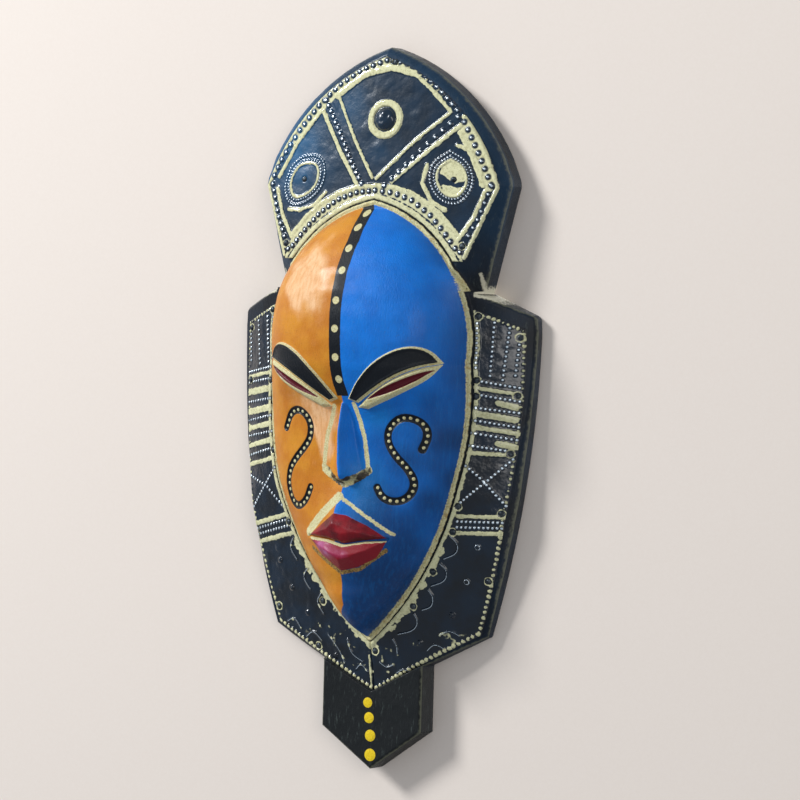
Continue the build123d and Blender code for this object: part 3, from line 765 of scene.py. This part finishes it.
FLANK_RIGHT = {
    "columns": (
        ((62.2, 239), (62.2, 213.5)), ((70.2, 237), (68.8, 209.5)), ((77.2, 234.4), (74.6, 207.5)),
        ((81.6, 226), (80.2, 210)),
    ),
    "rows": (
        ((60.8, 207.1), (82.2, 203.6)), ((60.8, 199.9), (82.4, 196.6)), ((60.6, 193), (82.2, 190.6)),
        ((60.6, 186.4), (82.2, 183.2)), ((60.6, 179.8), (81.6, 176.6)), ((59.8, 173.2), (76.6, 171)),
        ((58.6, 162.6), (66.4, 155.6), (77.6, 142.4)), ((80.2, 166.6), (68.4, 154.6), (55.8, 143.4)),
        ((53.4, 133.4), (78, 133.6)), ((53, 130.4), (77.6, 130.6)),
    ),
    "stripes": (
        ((61, 203.4), (82, 200.2), 1.0), ((61.2, 189.9), (81, 187), 1.7), ((61.2, 183), (82, 179.8), 1.2),
        ((58.6, 169.4), (79.6, 168.6), 1.0), ((54, 136.2), (77.4, 136.4), 1.05),
        ((52.2, 127.4), (77, 127.8), 1.05), ((73, 195.4), (81, 193.4), 1.6),
        ((73.4, 174.6), (81.4, 172.8), 1.5),
    ),
    "domes": ((63, 120.2), (56.2, 101.8), (47.5, 84), (29.1, 68.4)),
    "crescents": (
        ((49.2, 125.6), (53.2, 121.6), (52.4, 116.4), (45.2, 113.4)),
        ((42.8, 110.8), (46.6, 107.6), (45.4, 101.6), (37.6, 98.8)),
        ((35.6, 96.8), (38.4, 92.8), (37, 87.6), (31.6, 85.8)),
        ((26.8, 83.6), (29.2, 79.4), (26, 74.4), (17, 72.2)),
        ((13.6, 69.4), (16, 65.6), (15.6, 60.8)), ((5, 56.5), (9, 53.8), (13, 55.8)),
        ((14.6, 51.4), (18.4, 54), (22.6, 52.4)), ((40, 73), (45.6, 76), (51, 73)),
        ((33, 64.5), (37, 68.4), (42, 66)),
    ),
}
FLANK_LEFT = {
    "columns": (
        ((-82.4, 227), (-81.6, 213)), ((-75.2, 234.4), (-72.8, 211.6)), ((-67, 236.8), (-65, 212.9)),
        ((-61.6, 239), (-61, 215)),
    ),
    "rows": (
        ((-82.6, 206.6), (-60.4, 210.6)), ((-82.6, 201), (-60.2, 204.4)), ((-82.4, 190.4), (-60, 193.8)),
        ((-82.2, 180.6), (-59.4, 184.8)), ((-81.2, 172.4), (-58, 176.4)), ((-80.6, 162), (-56.6, 167.8)),
        ((-78.4, 151.2), (-64, 146.6), (-53, 137)), ((-55.6, 158.6), (-64, 148.7), (-75.4, 135)),
        ((-76, 122.6), (-49, 129.6)), ((-75.6, 119.6), (-48, 126.4)),
    ),
    "stripes": (
        ((-82.4, 204.2), (-60.4, 207.7), 0.9), ((-82.4, 195.8), (-60, 199.4), 1.7),
        ((-82.2, 185.2), (-59.6, 189), 1.7), ((-81.6, 176.4), (-58.8, 180.6), 1.3),
        ((-80.8, 167), (-57.6, 172.2), 1.3), ((-79.4, 157.2), (-56.4, 162.4), 1.1),
        ((-76.6, 125.4), (-50, 132.2), 1.2), ((-75, 115.6), (-47, 122.4), 1.2),
    ),
    "domes": ((-57.4, 107.2), (-50.1, 92.9), (-39.9, 80.1), (-22.5, 58.4)),
    "crescents": (
        ((-46.4, 119.6), (-49.4, 114.6), (-44.6, 108.4)), ((-37.6, 104), (-41.4, 99.4), (-36.6, 93)),
        ((-29.6, 91), (-33, 86.6), (-28.6, 80.4)), ((-14.2, 67.6), (-12.6, 60.2), (-5.6, 56.4)),
        ((-41.6, 67.2), (-36.6, 71), (-31.4, 66)), ((-55, 74.4), (-49.6, 77.4), (-45.4, 71.4)),
        ((-26.8, 69.6), (-20, 62), (-17, 54.6)), ((-10, 52), (-6.4, 55.4), (-3, 51)),
    ),
}


def emboss_flank(pattern, side, design):
    edge = [(60.4, 242.4), (71.8, 238), (83.2, 233.2)]
    pattern.dashes(on_side(side, edge), 2.4, 0.7)
    outer = arc((83.1, FLANK_TOP), (79.3, 156.5), (60.7, 75), 20)
    outer = [(x, z) for x, z in outer if z < 233]
    pattern.dashes(on_side(side, outer[:13]), 3.1, 0.6)
    pattern.dashes(on_side(side, outer[12:] + [(60.7, 75)]), 2.9, 0.85)
    low = [(60, 74.4), (29, 58), (1.6, 42.6)]
    pattern.dashes(on_side(side, low), 2.9, 1.05, 0.9)
    inner = [p for p in face_outline(RIM_WIDTH + 1.7)[:45] if p[1] < 243]
    pattern.line(on_side(side, inner), 1.05, 0.9)
    rubbed = [p for p in face_outline(RIM_WIDTH + 3.4)[:45] if p[1] < 122]
    pattern.smear(on_side(side, rubbed), 1.3 if side < 0 else 0.6)
    tip = [p for p in face_outline(RIM_WIDTH + 1.4)[:45] if p[1] < 80]
    pattern.line(on_side(side, tip), 1.7, 0.7)
    if side < 0:
        pattern.line([(-1.3, 60), (-1.2, 43)], 0.5, 0.5)
    for column in design["columns"]:
        pattern.dots(column, 2.5, 0.8)
    for row in design["rows"]:
        pattern.dots(row, 2.25, 0.85)
    for a, b, half in design["stripes"]:
        pattern.line([a, b], half, 0.55)
    for x, z in design["domes"]:
        pattern.dome(x, z, side > 0 and z > 100)
    for points in design["crescents"]:
        pattern.crescent(list(points))
        pattern.smear(list(points), -0.9)
    grid = pattern.grid
    scribble = noise(grid.x, grid.z, 3.2, 31) * (1 - ease(70, 84, grid.z)) * 0.5
    pattern.relief = np.maximum(pattern.relief, scribble)
    pattern.cream = np.maximum(pattern.cream, 1.6 * scribble - 0.72 + 0.8 * pattern.ragged)


# ---------------------------------------------------------------- nails
CROWN_NAILS = ((-45.5, 310.0), (45.0, 310.5), (5.5, 372.0), (53.0, 276.0), (-54.0, 276.0))
RIGHT_NAILS = (
    (62.5, 240.0), (81.6, 229.5), (62.4, 207.0), (62.4, 198.7), (81.3, 199.4), (78.8, 169.4),
    (75.4, 138.2), (54.2, 141.4), (50.6, 127.8), (67.0, 102.6), (38.6, 106.4), (26.4, 87.6),
    (2.4, 62.5),
)
LEFT_NAILS = (
    (-62.5, 240.5), (-81.6, 230.5), (-62.4, 203.0), (-81.3, 202.6), (-58.5, 166.0),
    (-48.8, 128.2), (-61.0, 82.2), (-28.9, 87.2), (-34.0, 62.8),
)
PLAIN_NAILS = CROWN_NAILS[:3]
NAIL_TURNS = 20  # points round a nail
NAIL_LIFT = 0.02
# radius and height above the sheet, from the top of the head to the point of the shank
NAIL_PROFILE = (
    (0.0, 0.84), (0.35, 0.82), (0.75, 0.72), (1.1, 0.54), (1.36, 0.3), (1.5, 0.1), (1.5, 0.0),
    (1.42, -0.04), (0.6, -0.05), (0.6, -6.4), (0.05, -8.0),
)


def nails(name, places, seed):
    turns, dice = NAIL_TURNS, np.random.default_rng(seed)
    points, quads = [], []
    for x, z in places:
        step = 0.05
        here = float(wood_front(np.array(x), np.array(z)))
        slope_x = (float(wood_front(np.array(x + step), np.array(z))) - here) / step
        slope_z = (float(wood_front(np.array(x), np.array(z + step))) - here) / step
        normal = Vector((-slope_x, -1, -slope_z)).normalized()
        turn = normal.to_track_quat("Z", "Y")
        seat = Vector((x, -here, z)) + normal * (SHEET + NAIL_LIFT)
        dent, lean = dice.uniform(-0.12, 0.12, turns), dice.uniform(-0.5, 0.5, 2)
        first = len(points)
        for radius, height in NAIL_PROFILE:
            for i in range(turns):
                angle = 2 * math.pi * i / turns
                worn = height - 0.12 * max(0.0, math.cos(angle + lean[0] * 6)) * (height > 0.4)
                wide = radius * (1 + dent[i] * 0.25 * (height > 0))
                spot = Vector((wide * math.cos(angle), wide * math.sin(angle), worn))
                points.append(seat + turn @ spot)
        for ring in range(len(NAIL_PROFILE) - 1):
            for i in range(turns):
                a, b = first + ring * turns + i, first + ring * turns + (i + 1) % turns
                quads.append((b, a, a + turns, b + turns))
    at = [(p.x / 1000, p.y / 1000, (p.z - HANG_HEIGHT) / 1000) for p in points]
    return new_mesh(name, at, quads)


# ---------------------------------------------------------------- node materials
class Paint:
    """A node material built up from short calls."""

    def __init__(self, name):
        self.material = bpy.data.materials.new(name)
        self.material.use_nodes = True
        self.nodes = self.material.node_tree.nodes
        self.links = self.material.node_tree.links
        self.shader = self.nodes["Principled BSDF"]
        self.place = self.nodes.new("ShaderNodeTexCoord").outputs["Object"]

    def put(self, socket, value):
        if isinstance(value, bpy.types.NodeSocket):
            self.links.new(value, socket)
        elif isinstance(value, tuple):
            socket.default_value = (*value, 1.0)[: len(socket.default_value)]
        else:
            socket.default_value = value

    def field(self, key):
        node = self.nodes.new("ShaderNodeAttribute")
        node.attribute_name = key
        return node.outputs["Fac"]

    def math(self, operation, a, b=0.0):
        node = self.nodes.new("ShaderNodeMath")
        node.operation = operation
        self.put(node.inputs[0], a)
        self.put(node.inputs[1], b)
        return node.outputs[0]

    def ramp(self, value, low, high, to_low=0.0, to_high=1.0):
        node = self.nodes.new("ShaderNodeMapRange")
        node.interpolation_type = "SMOOTHSTEP"
        for index, item in enumerate((value, low, high, to_low, to_high)):
            self.put(node.inputs[index], item)
        return node.outputs[0]

    def plus(self, value, other, share):
        """value, and this share of another."""
        return self.math("ADD", value, self.math("MULTIPLY", other, share))

    def mix(self, share, a, b):
        node = self.nodes.new("ShaderNodeMix")
        node.data_type = "RGBA"
        self.put(node.inputs[0], share)
        self.put(node.inputs[6], a)
        self.put(node.inputs[7], b)
        return node.outputs[2]

    def blotch(self, source, a, b, low=0.35, high=0.7):
        """a where the source is low, b where it is high."""
        return self.mix(self.ramp(source, low, high), a, b)

    def noise(self, scale, detail=4.0, rough=0.55, stretch=None):
        """Noise with about scale waves to a metre."""
        node = self.nodes.new("ShaderNodeTexNoise")
        where = self.place
        if stretch:
            mapping = self.nodes.new("ShaderNodeMapping")
            mapping.inputs["Scale"].default_value = stretch
            self.links.new(where, mapping.inputs["Vector"])
            where = mapping.outputs[0]
        self.links.new(where, node.inputs["Vector"])
        for key, value in (("Scale", scale), ("Detail", detail), ("Roughness", rough)):
            node.inputs[key].default_value = value
        return node.outputs["Fac"]

    def edge(self, key, ragged=0.3, soft=0.12, shift=0.0):
        """1 inside a painted region, with a brushed edge."""
        shaken = self.math("MULTIPLY_ADD", self.noise(900, 3), ragged * 2)
        shaken.node.inputs[2].default_value = -ragged + shift
        value = self.math("ADD", self.field(key), shaken)
        return self.ramp(value, -soft, soft)

    def line(self, key, half, ragged=0.3, soft=0.15):
        """1 on a painted line of this half width."""
        value = self.math("SUBTRACT", half, self.field(key))
        shaken = self.math("MULTIPLY_ADD", self.noise(800, 4), ragged * 2)
        shaken.node.inputs[2].default_value = -ragged
        return self.ramp(self.math("ADD", value, shaken), -soft, soft)

    def bump(self, height, distance, before=None):
        node = self.nodes.new("ShaderNodeBump")
        node.inputs["Strength"].default_value = 1.0
        node.inputs["Distance"].default_value = distance
        self.links.new(height, node.inputs["Height"])
        if before is not None:
            self.links.new(before, node.inputs["Normal"])
        return node.outputs["Normal"]

    def finish(self, colour, rough, metal=0.0, normal=None, **fixed):
        self.put(self.shader.inputs["Base Color"], colour)
        self.put(self.shader.inputs["Roughness"], rough)
        self.put(self.shader.inputs["Metallic"], metal)
        if normal is not None:
            self.put(self.shader.inputs["Normal"], normal)
        for key, value in fixed.items():
            self.shader.inputs[key.replace("_", " ")].default_value = value
        return self.material


def srgb(*values):
    return tuple(((v / 255 + 0.055) / 1.055) ** 2.4 if v > 10 else v / 255 / 12.92 for v in values)


CREAM, OCHRE = srgb(212, 208, 164), srgb(168, 134, 74)
# the last of these is a painted reflection: bluish light mirrored on the dark paint of the crown
INK, NIGHT, REFLECTED_BLUE = srgb(6, 12, 20), srgb(5, 25, 42), srgb(28, 94, 138)


def wood_paint():
    p = Paint("painted_wood")
    fine, broad, grain = p.noise(1400, 4), p.noise(60, 3), p.noise(90, 5, 0.6, (6, 6, 0.7))
    speck = p.ramp(p.noise(1900, 3), 0.62, 0.7)

    # the two painted halves of the face
    orange = p.blotch(broad, srgb(206, 136, 36), srgb(190, 114, 26), 0.35, 0.65)
    peach = p.blotch(grain, srgb(232, 184, 136), srgb(216, 156, 98))
    worn = p.ramp(p.plus(p.field("worn"), p.noise(160, 4), 0.5), 0.45, 1.0)
    orange = p.mix(worn, orange, peach)
    blue = p.blotch(broad, srgb(0, 104, 196), srgb(2, 116, 212), 0.35, 0.68)
    blue = p.mix(p.ramp(p.field("teal"), 0.15, 1.0, 0, 0.5), blue, srgb(12, 108, 150))
    # the blue darkened by painted shade, partly its own darker tone, on the chin, cheek and right edge
    blue = p.mix(p.ramp(p.field("tone_and_painted_shade"), 0.0, 1.0, 0, 0.9), blue, srgb(0, 44, 88))
    streaks = p.ramp(grain, 0.45, 0.75, 0, 0.22)
    blue = p.mix(streaks, blue, srgb(16, 120, 196))
    face = p.mix(p.edge("blue", 0.25), orange, blue)
    face = p.mix(p.math("MULTIPLY", speck, 0.45), face, srgb(70, 60, 40))

    # lines and features on the face
    face = p.mix(p.edge("band", 0.25), face, INK)
    cream = p.blotch(fine, CREAM, srgb(190, 172, 116))
    face = p.mix(p.line("nose_line", 1.25, 0.55), face, cream)
    face = p.mix(p.line("philtrum_left", 2.4, 0.6), face, cream)
    face = p.mix(p.line("philtrum_right", 0.95, 0.9), face, cream)
    smear = p.blotch(p.noise(150, 4, 0.6), cream, srgb(52, 44, 34), 0.42, 0.6)
    face = p.mix(p.line("under_nose", 2.1, 0.9), face, smear)
    face = p.mix(p.line("under_lip", 1.0, 0.8), face, p.blotch(fine, OCHRE, srgb(56, 44, 30)))
    face = p.mix(p.edge("scar", 0.15), face, INK)
    face = p.mix(p.edge("dots", 0.2), face, cream)
    brow = p.mix(p.edge("brow", 0.14, 0.06, -1.0), p.blotch(fine, cream, OCHRE, 0.5, 0.75), INK)
    face = p.mix(p.edge("brow", 0.1, 0.05), face, brow)
    face = p.mix(p.edge("lid", 0.1, 0.05), face, cream)
    face = p.mix(p.edge("slit", 0.16, 0.06, 0.2), face, srgb(92, 16, 30))
    red = p.blotch(p.noise(110, 3), srgb(138, 12, 26), srgb(82, 6, 18))
    mauve = p.blotch(p.noise(220, 4), srgb(156, 52, 92), srgb(172, 92, 138), 0.4, 0.65)
    face = p.mix(p.edge("upper_lip", 0.15), face, red)
    lower = p.blotch(p.field("mauve"), srgb(134, 12, 30), mauve, 0.25, 0.85)
    face = p.mix(p.edge("lower_lip", 0.15), face, lower)
    rubbed = p.math("MULTIPLY", p.line("crease", 1.5, 0.7), p.edge("lower_lip", 0.1))
    face = p.mix(rubbed, face, cream)

    # the lip round the face and the dark wood outside it
    dark = p.blotch(p.noise(45, 4), NIGHT, INK)
    # painted reflection of bluish light on the front of the crown's wood, strongest on the left
    dark = p.mix(p.math("MULTIPLY", p.field("painted_reflection"), p.ramp(p.field("behind"), 0.3, 0.0, 0, 0.6)), dark, REFLECTED_BLUE)
    dark = p.mix(p.field("block"), dark, srgb(12, 16, 18))
    scratched = p.plus(p.noise(500, 5, 0.7, (1, 1, 0.25)), p.field("block"), 0.015)
    dark = p.mix(p.ramp(scratched, 0.56, 0.74, 0, 0.45), dark, srgb(84, 94, 90))
    to_edge = p.plus(p.field("edge"), p.noise(420, 4), 2.2)
    wear = p.math("MULTIPLY", p.ramp(to_edge, 2.1, 1.2, 0, 0.6), p.ramp(p.field("behind"), 0.06, 0.0))
    dark = p.mix(wear, dark, srgb(112, 112, 92))
    rub = p.math("MULTIPLY", p.line("rub", 0.7, 0.9, 0.4), 0.8)
    dark = p.mix(rub, dark, srgb(216, 208, 182))
    yellow = p.blotch(fine, srgb(236, 206, 30), srgb(214, 176, 22), 0.3, 0.7)
    on_front = p.ramp(p.field("behind"), 0.3, 0.1)
    dark = p.mix(p.math("MULTIPLY", p.edge("yellow", 0.12), on_front), dark, yellow)
    lip = p.blotch(p.noise(180, 5, 0.6), cream, OCHRE, 0.55, 0.75)
    lip = p.blotch(p.noise(700, 4, 0.6), lip, INK, 0.62, 0.7)
    foot = p.plus(p.field("face"), p.noise(500, 3), 1.0)
    lip = p.blotch(foot, lip, INK, -1.45, -1.75)
    lip_side = p.math("GREATER_THAN", p.field("face"), -RIM_WIDTH - 0.2)
    outside = p.mix(lip_side, dark, lip)
    on_face = p.edge("face", 0.3, shift=-0.1)
    front = p.mix(on_face, outside, face)

    # the back is stained wood, with the front's paint run over its edge
    bare = p.blotch(grain, srgb(120, 84, 54), srgb(84, 56, 36), 0.3, 0.7)
    bare = p.mix(p.ramp(p.noise(300, 5, 0.7, (3, 3, 0.3)), 0.5, 0.7, 0, 0.6), bare, srgb(56, 38, 26))
    spill = p.plus(p.field("edge"), p.noise(70, 3), 14)
    back = p.blotch(spill, dark, bare, 9, 10.5)
    colour = p.blotch(p.field("behind"), front, back, 0.94, 0.99)

    gloss = p.ramp(p.field("face"), -0.2, 0.4, 0.5, 0.34)
    rough = p.plus(gloss, p.noise(260, 4), 0.22)
    normal = p.bump(p.noise(650, 5, 0.6, (2.5, 2.5, 0.5)), 0.00035)
    normal = p.bump(p.noise(2400, 3), 0.00012, normal)
    return p.finish(colour, rough, 0.0, normal, Specular_IOR_Level=0.22, Coat_Weight=0.1, Coat_Roughness=0.16)


def sheet_paint():
    p = Paint("patinated_sheet")
    fine = p.noise(1700, 4)
    dark = p.blotch(p.noise(70, 4), NIGHT, INK)
    # painted reflection of bluish light on the crown sheet, strongest on its left cell
    dark = p.mix(p.math("MULTIPLY", p.field("painted_reflection"), p.ramp(p.noise(90, 3), 0.2, 0.8, 0.55, 1.0)), dark, REFLECTED_BLUE)
    cream = p.blotch(p.noise(600, 5, 0.65), CREAM, srgb(172, 166, 122), 0.45, 0.72)
    cream = p.blotch(p.noise(1500, 3), cream, srgb(60, 74, 76), 0.64, 0.72)
    bead, rubbed_metal_and_highlight = p.field("bead"), p.field("rubbed_metal_and_highlight")
    rubbed = p.math("MULTIPLY", p.edge("cream", 0.35, 0.16), p.math("SUBTRACT", 1.0, bead))
    colour = p.mix(rubbed, dark, cream)
    # bead, dome and crescent tops: bare metal rubbed through, painted pale as a highlight
    shine = p.ramp(p.plus(rubbed_metal_and_highlight, fine, 0.3), 0.5, 0.95)
    colour = p.mix(shine, colour, srgb(214, 226, 234))
    metal = p.math("MULTIPLY", shine, 0.55)
    rough = p.ramp(rubbed, 0, 1, 0.2, 0.72)
    rough = p.plus(rough, p.noise(300, 4), 0.12)
    waves = p.math("MULTIPLY", p.noise(170, 2), p.ramp(p.field("painted_reflection"), 0.0, 0.12, 1.0, 0.3))
    normal = p.bump(fine, 0.00004, p.bump(waves, 0.0007))
    return p.finish(
        colour, rough, metal, normal, Specular_IOR_Level=0.35, Coat_Weight=0.5, Coat_Roughness=0.05
    )


def metal_paint(name, low, high, rough, metal, scale):
    p = Paint(name)
    broad, fine = p.noise(scale, 5, 0.6), p.noise(scale * 7, 3)
    colour = p.blotch(broad, low, high)
    colour = p.mix(p.ramp(fine, 0.6, 0.75, 0, 0.5), colour, srgb(40, 34, 28))
    spread = p.plus(rough, fine, 0.25)
    return p.finish(colour, spread, metal, p.bump(fine, 0.00008))


# ---------------------------------------------------------------- the pieces
def outside_wood(x, z):
    return np.minimum(
        np.minimum(inside(crown_outline(), x, z), inside(flank_outline(), x, z)),
        inside(block_outline(), x, z),
    )


WOOD_STEP = 0.5
SHEET_STEP = 0.35

wood_grid = Grid((-91, -2), (91, 382), WOOD_STEP, outside_wood)
wood_depth, wood_marks = wood_fields(wood_grid)
body = slab("carved_body_wood", wood_grid, wood_depth, wood_back(wood_grid), wood_marks, 7)
body.data.materials.append(wood_paint())
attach(body, "mask")
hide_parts("carved_body")

metal_sheet = sheet_paint()


def sheet_piece(name, node, outline, low, high, work, nail_places):
    def outside(x, z):
        return np.maximum(inside(outline, x, z), -inside(face_outline(RIM_WIDTH + SHEET_GAP), x, z))

    grid = Grid(low, high, SHEET_STEP, outside)
    pattern = Pattern(grid)
    work(pattern)
    pattern.make_room(nail_places, PLAIN_NAILS)
    surface = wood_front(grid.x, grid.z)
    to_edge = np.clip(-outside(grid.x, grid.z), 0, 3)
    turned = 0.35 * (1 - ease(0, 0.8, to_edge))
    fields = pattern.fields()
    # painted reflection of bluish light, strongest on the crown's left cell and faint over the rest of the
    # crown
    painted_reflection = 0.1 + 0.8 * bump(grid.x, grid.z, (-52, 326), 17, 24)
    painted_reflection = painted_reflection + 0.35 * bump(grid.x, grid.z, (-22, 350), 13, 14)
    painted_reflection = painted_reflection + 0.16 * bump(grid.x, grid.z, (-2, 324), 9, 8)
    fields["painted_reflection"] = painted_reflection * ease(255, 300, grid.z)
    front = surface + SHEET + np.maximum(pattern.relief, -0.3) - turned
    piece = slab(name, grid, front, surface + SHEET_LIFT, fields, 2)
    piece.data.materials.append(metal_sheet)
    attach(piece, "mask")
    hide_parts(node)


sheet_piece(
    "crown_sheet_embossed", "crown_sheet", crown_sheet_outline(), (-72, 266), (72, 377),
    emboss_crown, CROWN_NAILS,
)
sheet_piece(
    "right_flank_sheet_embossed", "right_flank_sheet", flank_sheet_outline(1), (-1, 40), (86, 246),
    lambda pattern: emboss_flank(pattern, 1, FLANK_RIGHT), RIGHT_NAILS,
)
sheet_piece(
    "left_flank_sheet_embossed", "left_flank_sheet", flank_sheet_outline(-1), (-86, 40), (1, 246),
    lambda pattern: emboss_flank(pattern, -1, FLANK_LEFT), LEFT_NAILS,
)

nail_metal = metal_paint("dark_nail", srgb(30, 36, 44), srgb(86, 94, 98), 0.3, 0.75, 900)
for node, places, seed in (
    ("crown_nails", CROWN_NAILS, 41),
    ("right_sheet_nails", RIGHT_NAILS, 42),
    ("left_sheet_nails", LEFT_NAILS, 43),
):
    heads = nails(f"{node}_hammered", places, seed)
    heads.data.materials.append(nail_metal)
    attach(heads, "mask")
    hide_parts(node)

for node, finish in {
    "hanger_strap": metal_paint("brass_strap", srgb(176, 138, 72), srgb(206, 168, 96), 0.3, 0.9, 500),
    "hanger_ring": metal_paint("brass_wire", srgb(186, 150, 80), srgb(214, 182, 110), 0.22, 0.95, 500),
    "hanger_screw": metal_paint("steel_screw", srgb(130, 132, 134), srgb(176, 178, 180), 0.3, 0.95, 700),
}.items():
    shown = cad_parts[node]
    shown.data.materials.clear()
    shown.data.materials.append(finish)


# ---------------------------------------------------------------- wall, light and camera
def wall():
    half, gap = 3, 0.0006
    corners = [(x, gap, z) for x, z in ((-half, -half), (half, -half), (half, half), (-half, half))]
    piece = new_mesh("stage_wall", corners, [(0, 1, 2, 3)], False)
    p = Paint("pale_wall")
    colour = p.mix(p.noise(700, 3), srgb(226, 214, 204), srgb(222, 209, 198))
    p.finish(colour, 0.8, 0.0)
    # seen from behind it is clear, so the mask's back shows
    clear = p.nodes.new("ShaderNodeBsdfTransparent")
    swap = p.nodes.new("ShaderNodeMixShader")
    facing = p.nodes.new("ShaderNodeNewGeometry")
    p.links.new(facing.outputs["Backfacing"], swap.inputs[0])
    p.links.new(p.shader.outputs[0], swap.inputs[1])
    p.links.new(clear.outputs[0], swap.inputs[2])
    p.links.new(swap.outputs[0], p.nodes["Material Output"].inputs["Surface"])
    piece.data.materials.append(p.material)
    piece.visible_shadow = False
    piece.visible_diffuse = False


AIM = Vector((0, 0, -0.135))


def soft_light(name, place, size, power, colour=(1, 1, 1)):
    data = bpy.data.lights.new(name, "AREA")
    data.shape, data.size, data.energy, data.color = "DISK", size, power, colour
    lamp = bpy.data.objects.new(name, data)
    lamp.location = place
    lamp.rotation_mode = "QUATERNION"
    lamp.rotation_quaternion = (AIM - Vector(place)).to_track_quat("-Z", "Y")
    bpy.context.scene.collection.objects.link(lamp)


wall()
soft_light("key", (-1.5, -1.3, 1.1), 0.6, 60, (0.95, 0.98, 1.0))
soft_light("fill", (1.6, -1.8, 0.3), 1.2, 13, (1.0, 0.97, 0.93))
soft_light("back_left", (-1.2, 1.7, 0.8), 1.4, 30)
soft_light("back_right", (1.4, 1.5, 0.4), 1.4, 22)

world = bpy.data.worlds.new("studio")
bpy.context.scene.world = world
world.use_nodes = True
world.node_tree.nodes["Background"].inputs["Color"].default_value = (0.76, 0.85, 0.96, 1)
world.node_tree.nodes["Background"].inputs["Strength"].default_value = 0.42
bpy.context.scene.view_settings.view_transform = "Standard"

# The mask is seen from 30 degrees off its middle, and leans a little in the frame.
TURN, RISE, LEAN = (math.radians(a) for a in (30.0, 1.377, 1.539))
DISTANCE, LENS = 2.1758, 185.1
ASIDE, ABOVE = 0.00428, 0.00443
towards = Vector((math.sin(TURN) * math.cos(RISE), -math.cos(TURN) * math.cos(RISE), math.sin(RISE)))
level = Vector((math.cos(TURN), math.sin(TURN), 0))
upright = towards.cross(level)
across = math.cos(LEAN) * level + math.sin(LEAN) * upright
up = math.cos(LEAN) * upright - math.sin(LEAN) * level
camera_data = bpy.data.cameras.new("camera")
camera_data.lens, camera_data.sensor_width = LENS, 36.0
camera_data.clip_start, camera_data.clip_end = 0.05, 50
camera = bpy.data.objects.new("camera", camera_data)
bpy.context.scene.collection.objects.link(camera)
spot = AIM + DISTANCE * towards + ASIDE * across + ABOVE * up
turn = Matrix((across, up, towards)).transposed().to_4x4()
camera.matrix_world = Matrix.Translation(spot) @ turn
bpy.context.scene.camera = camera
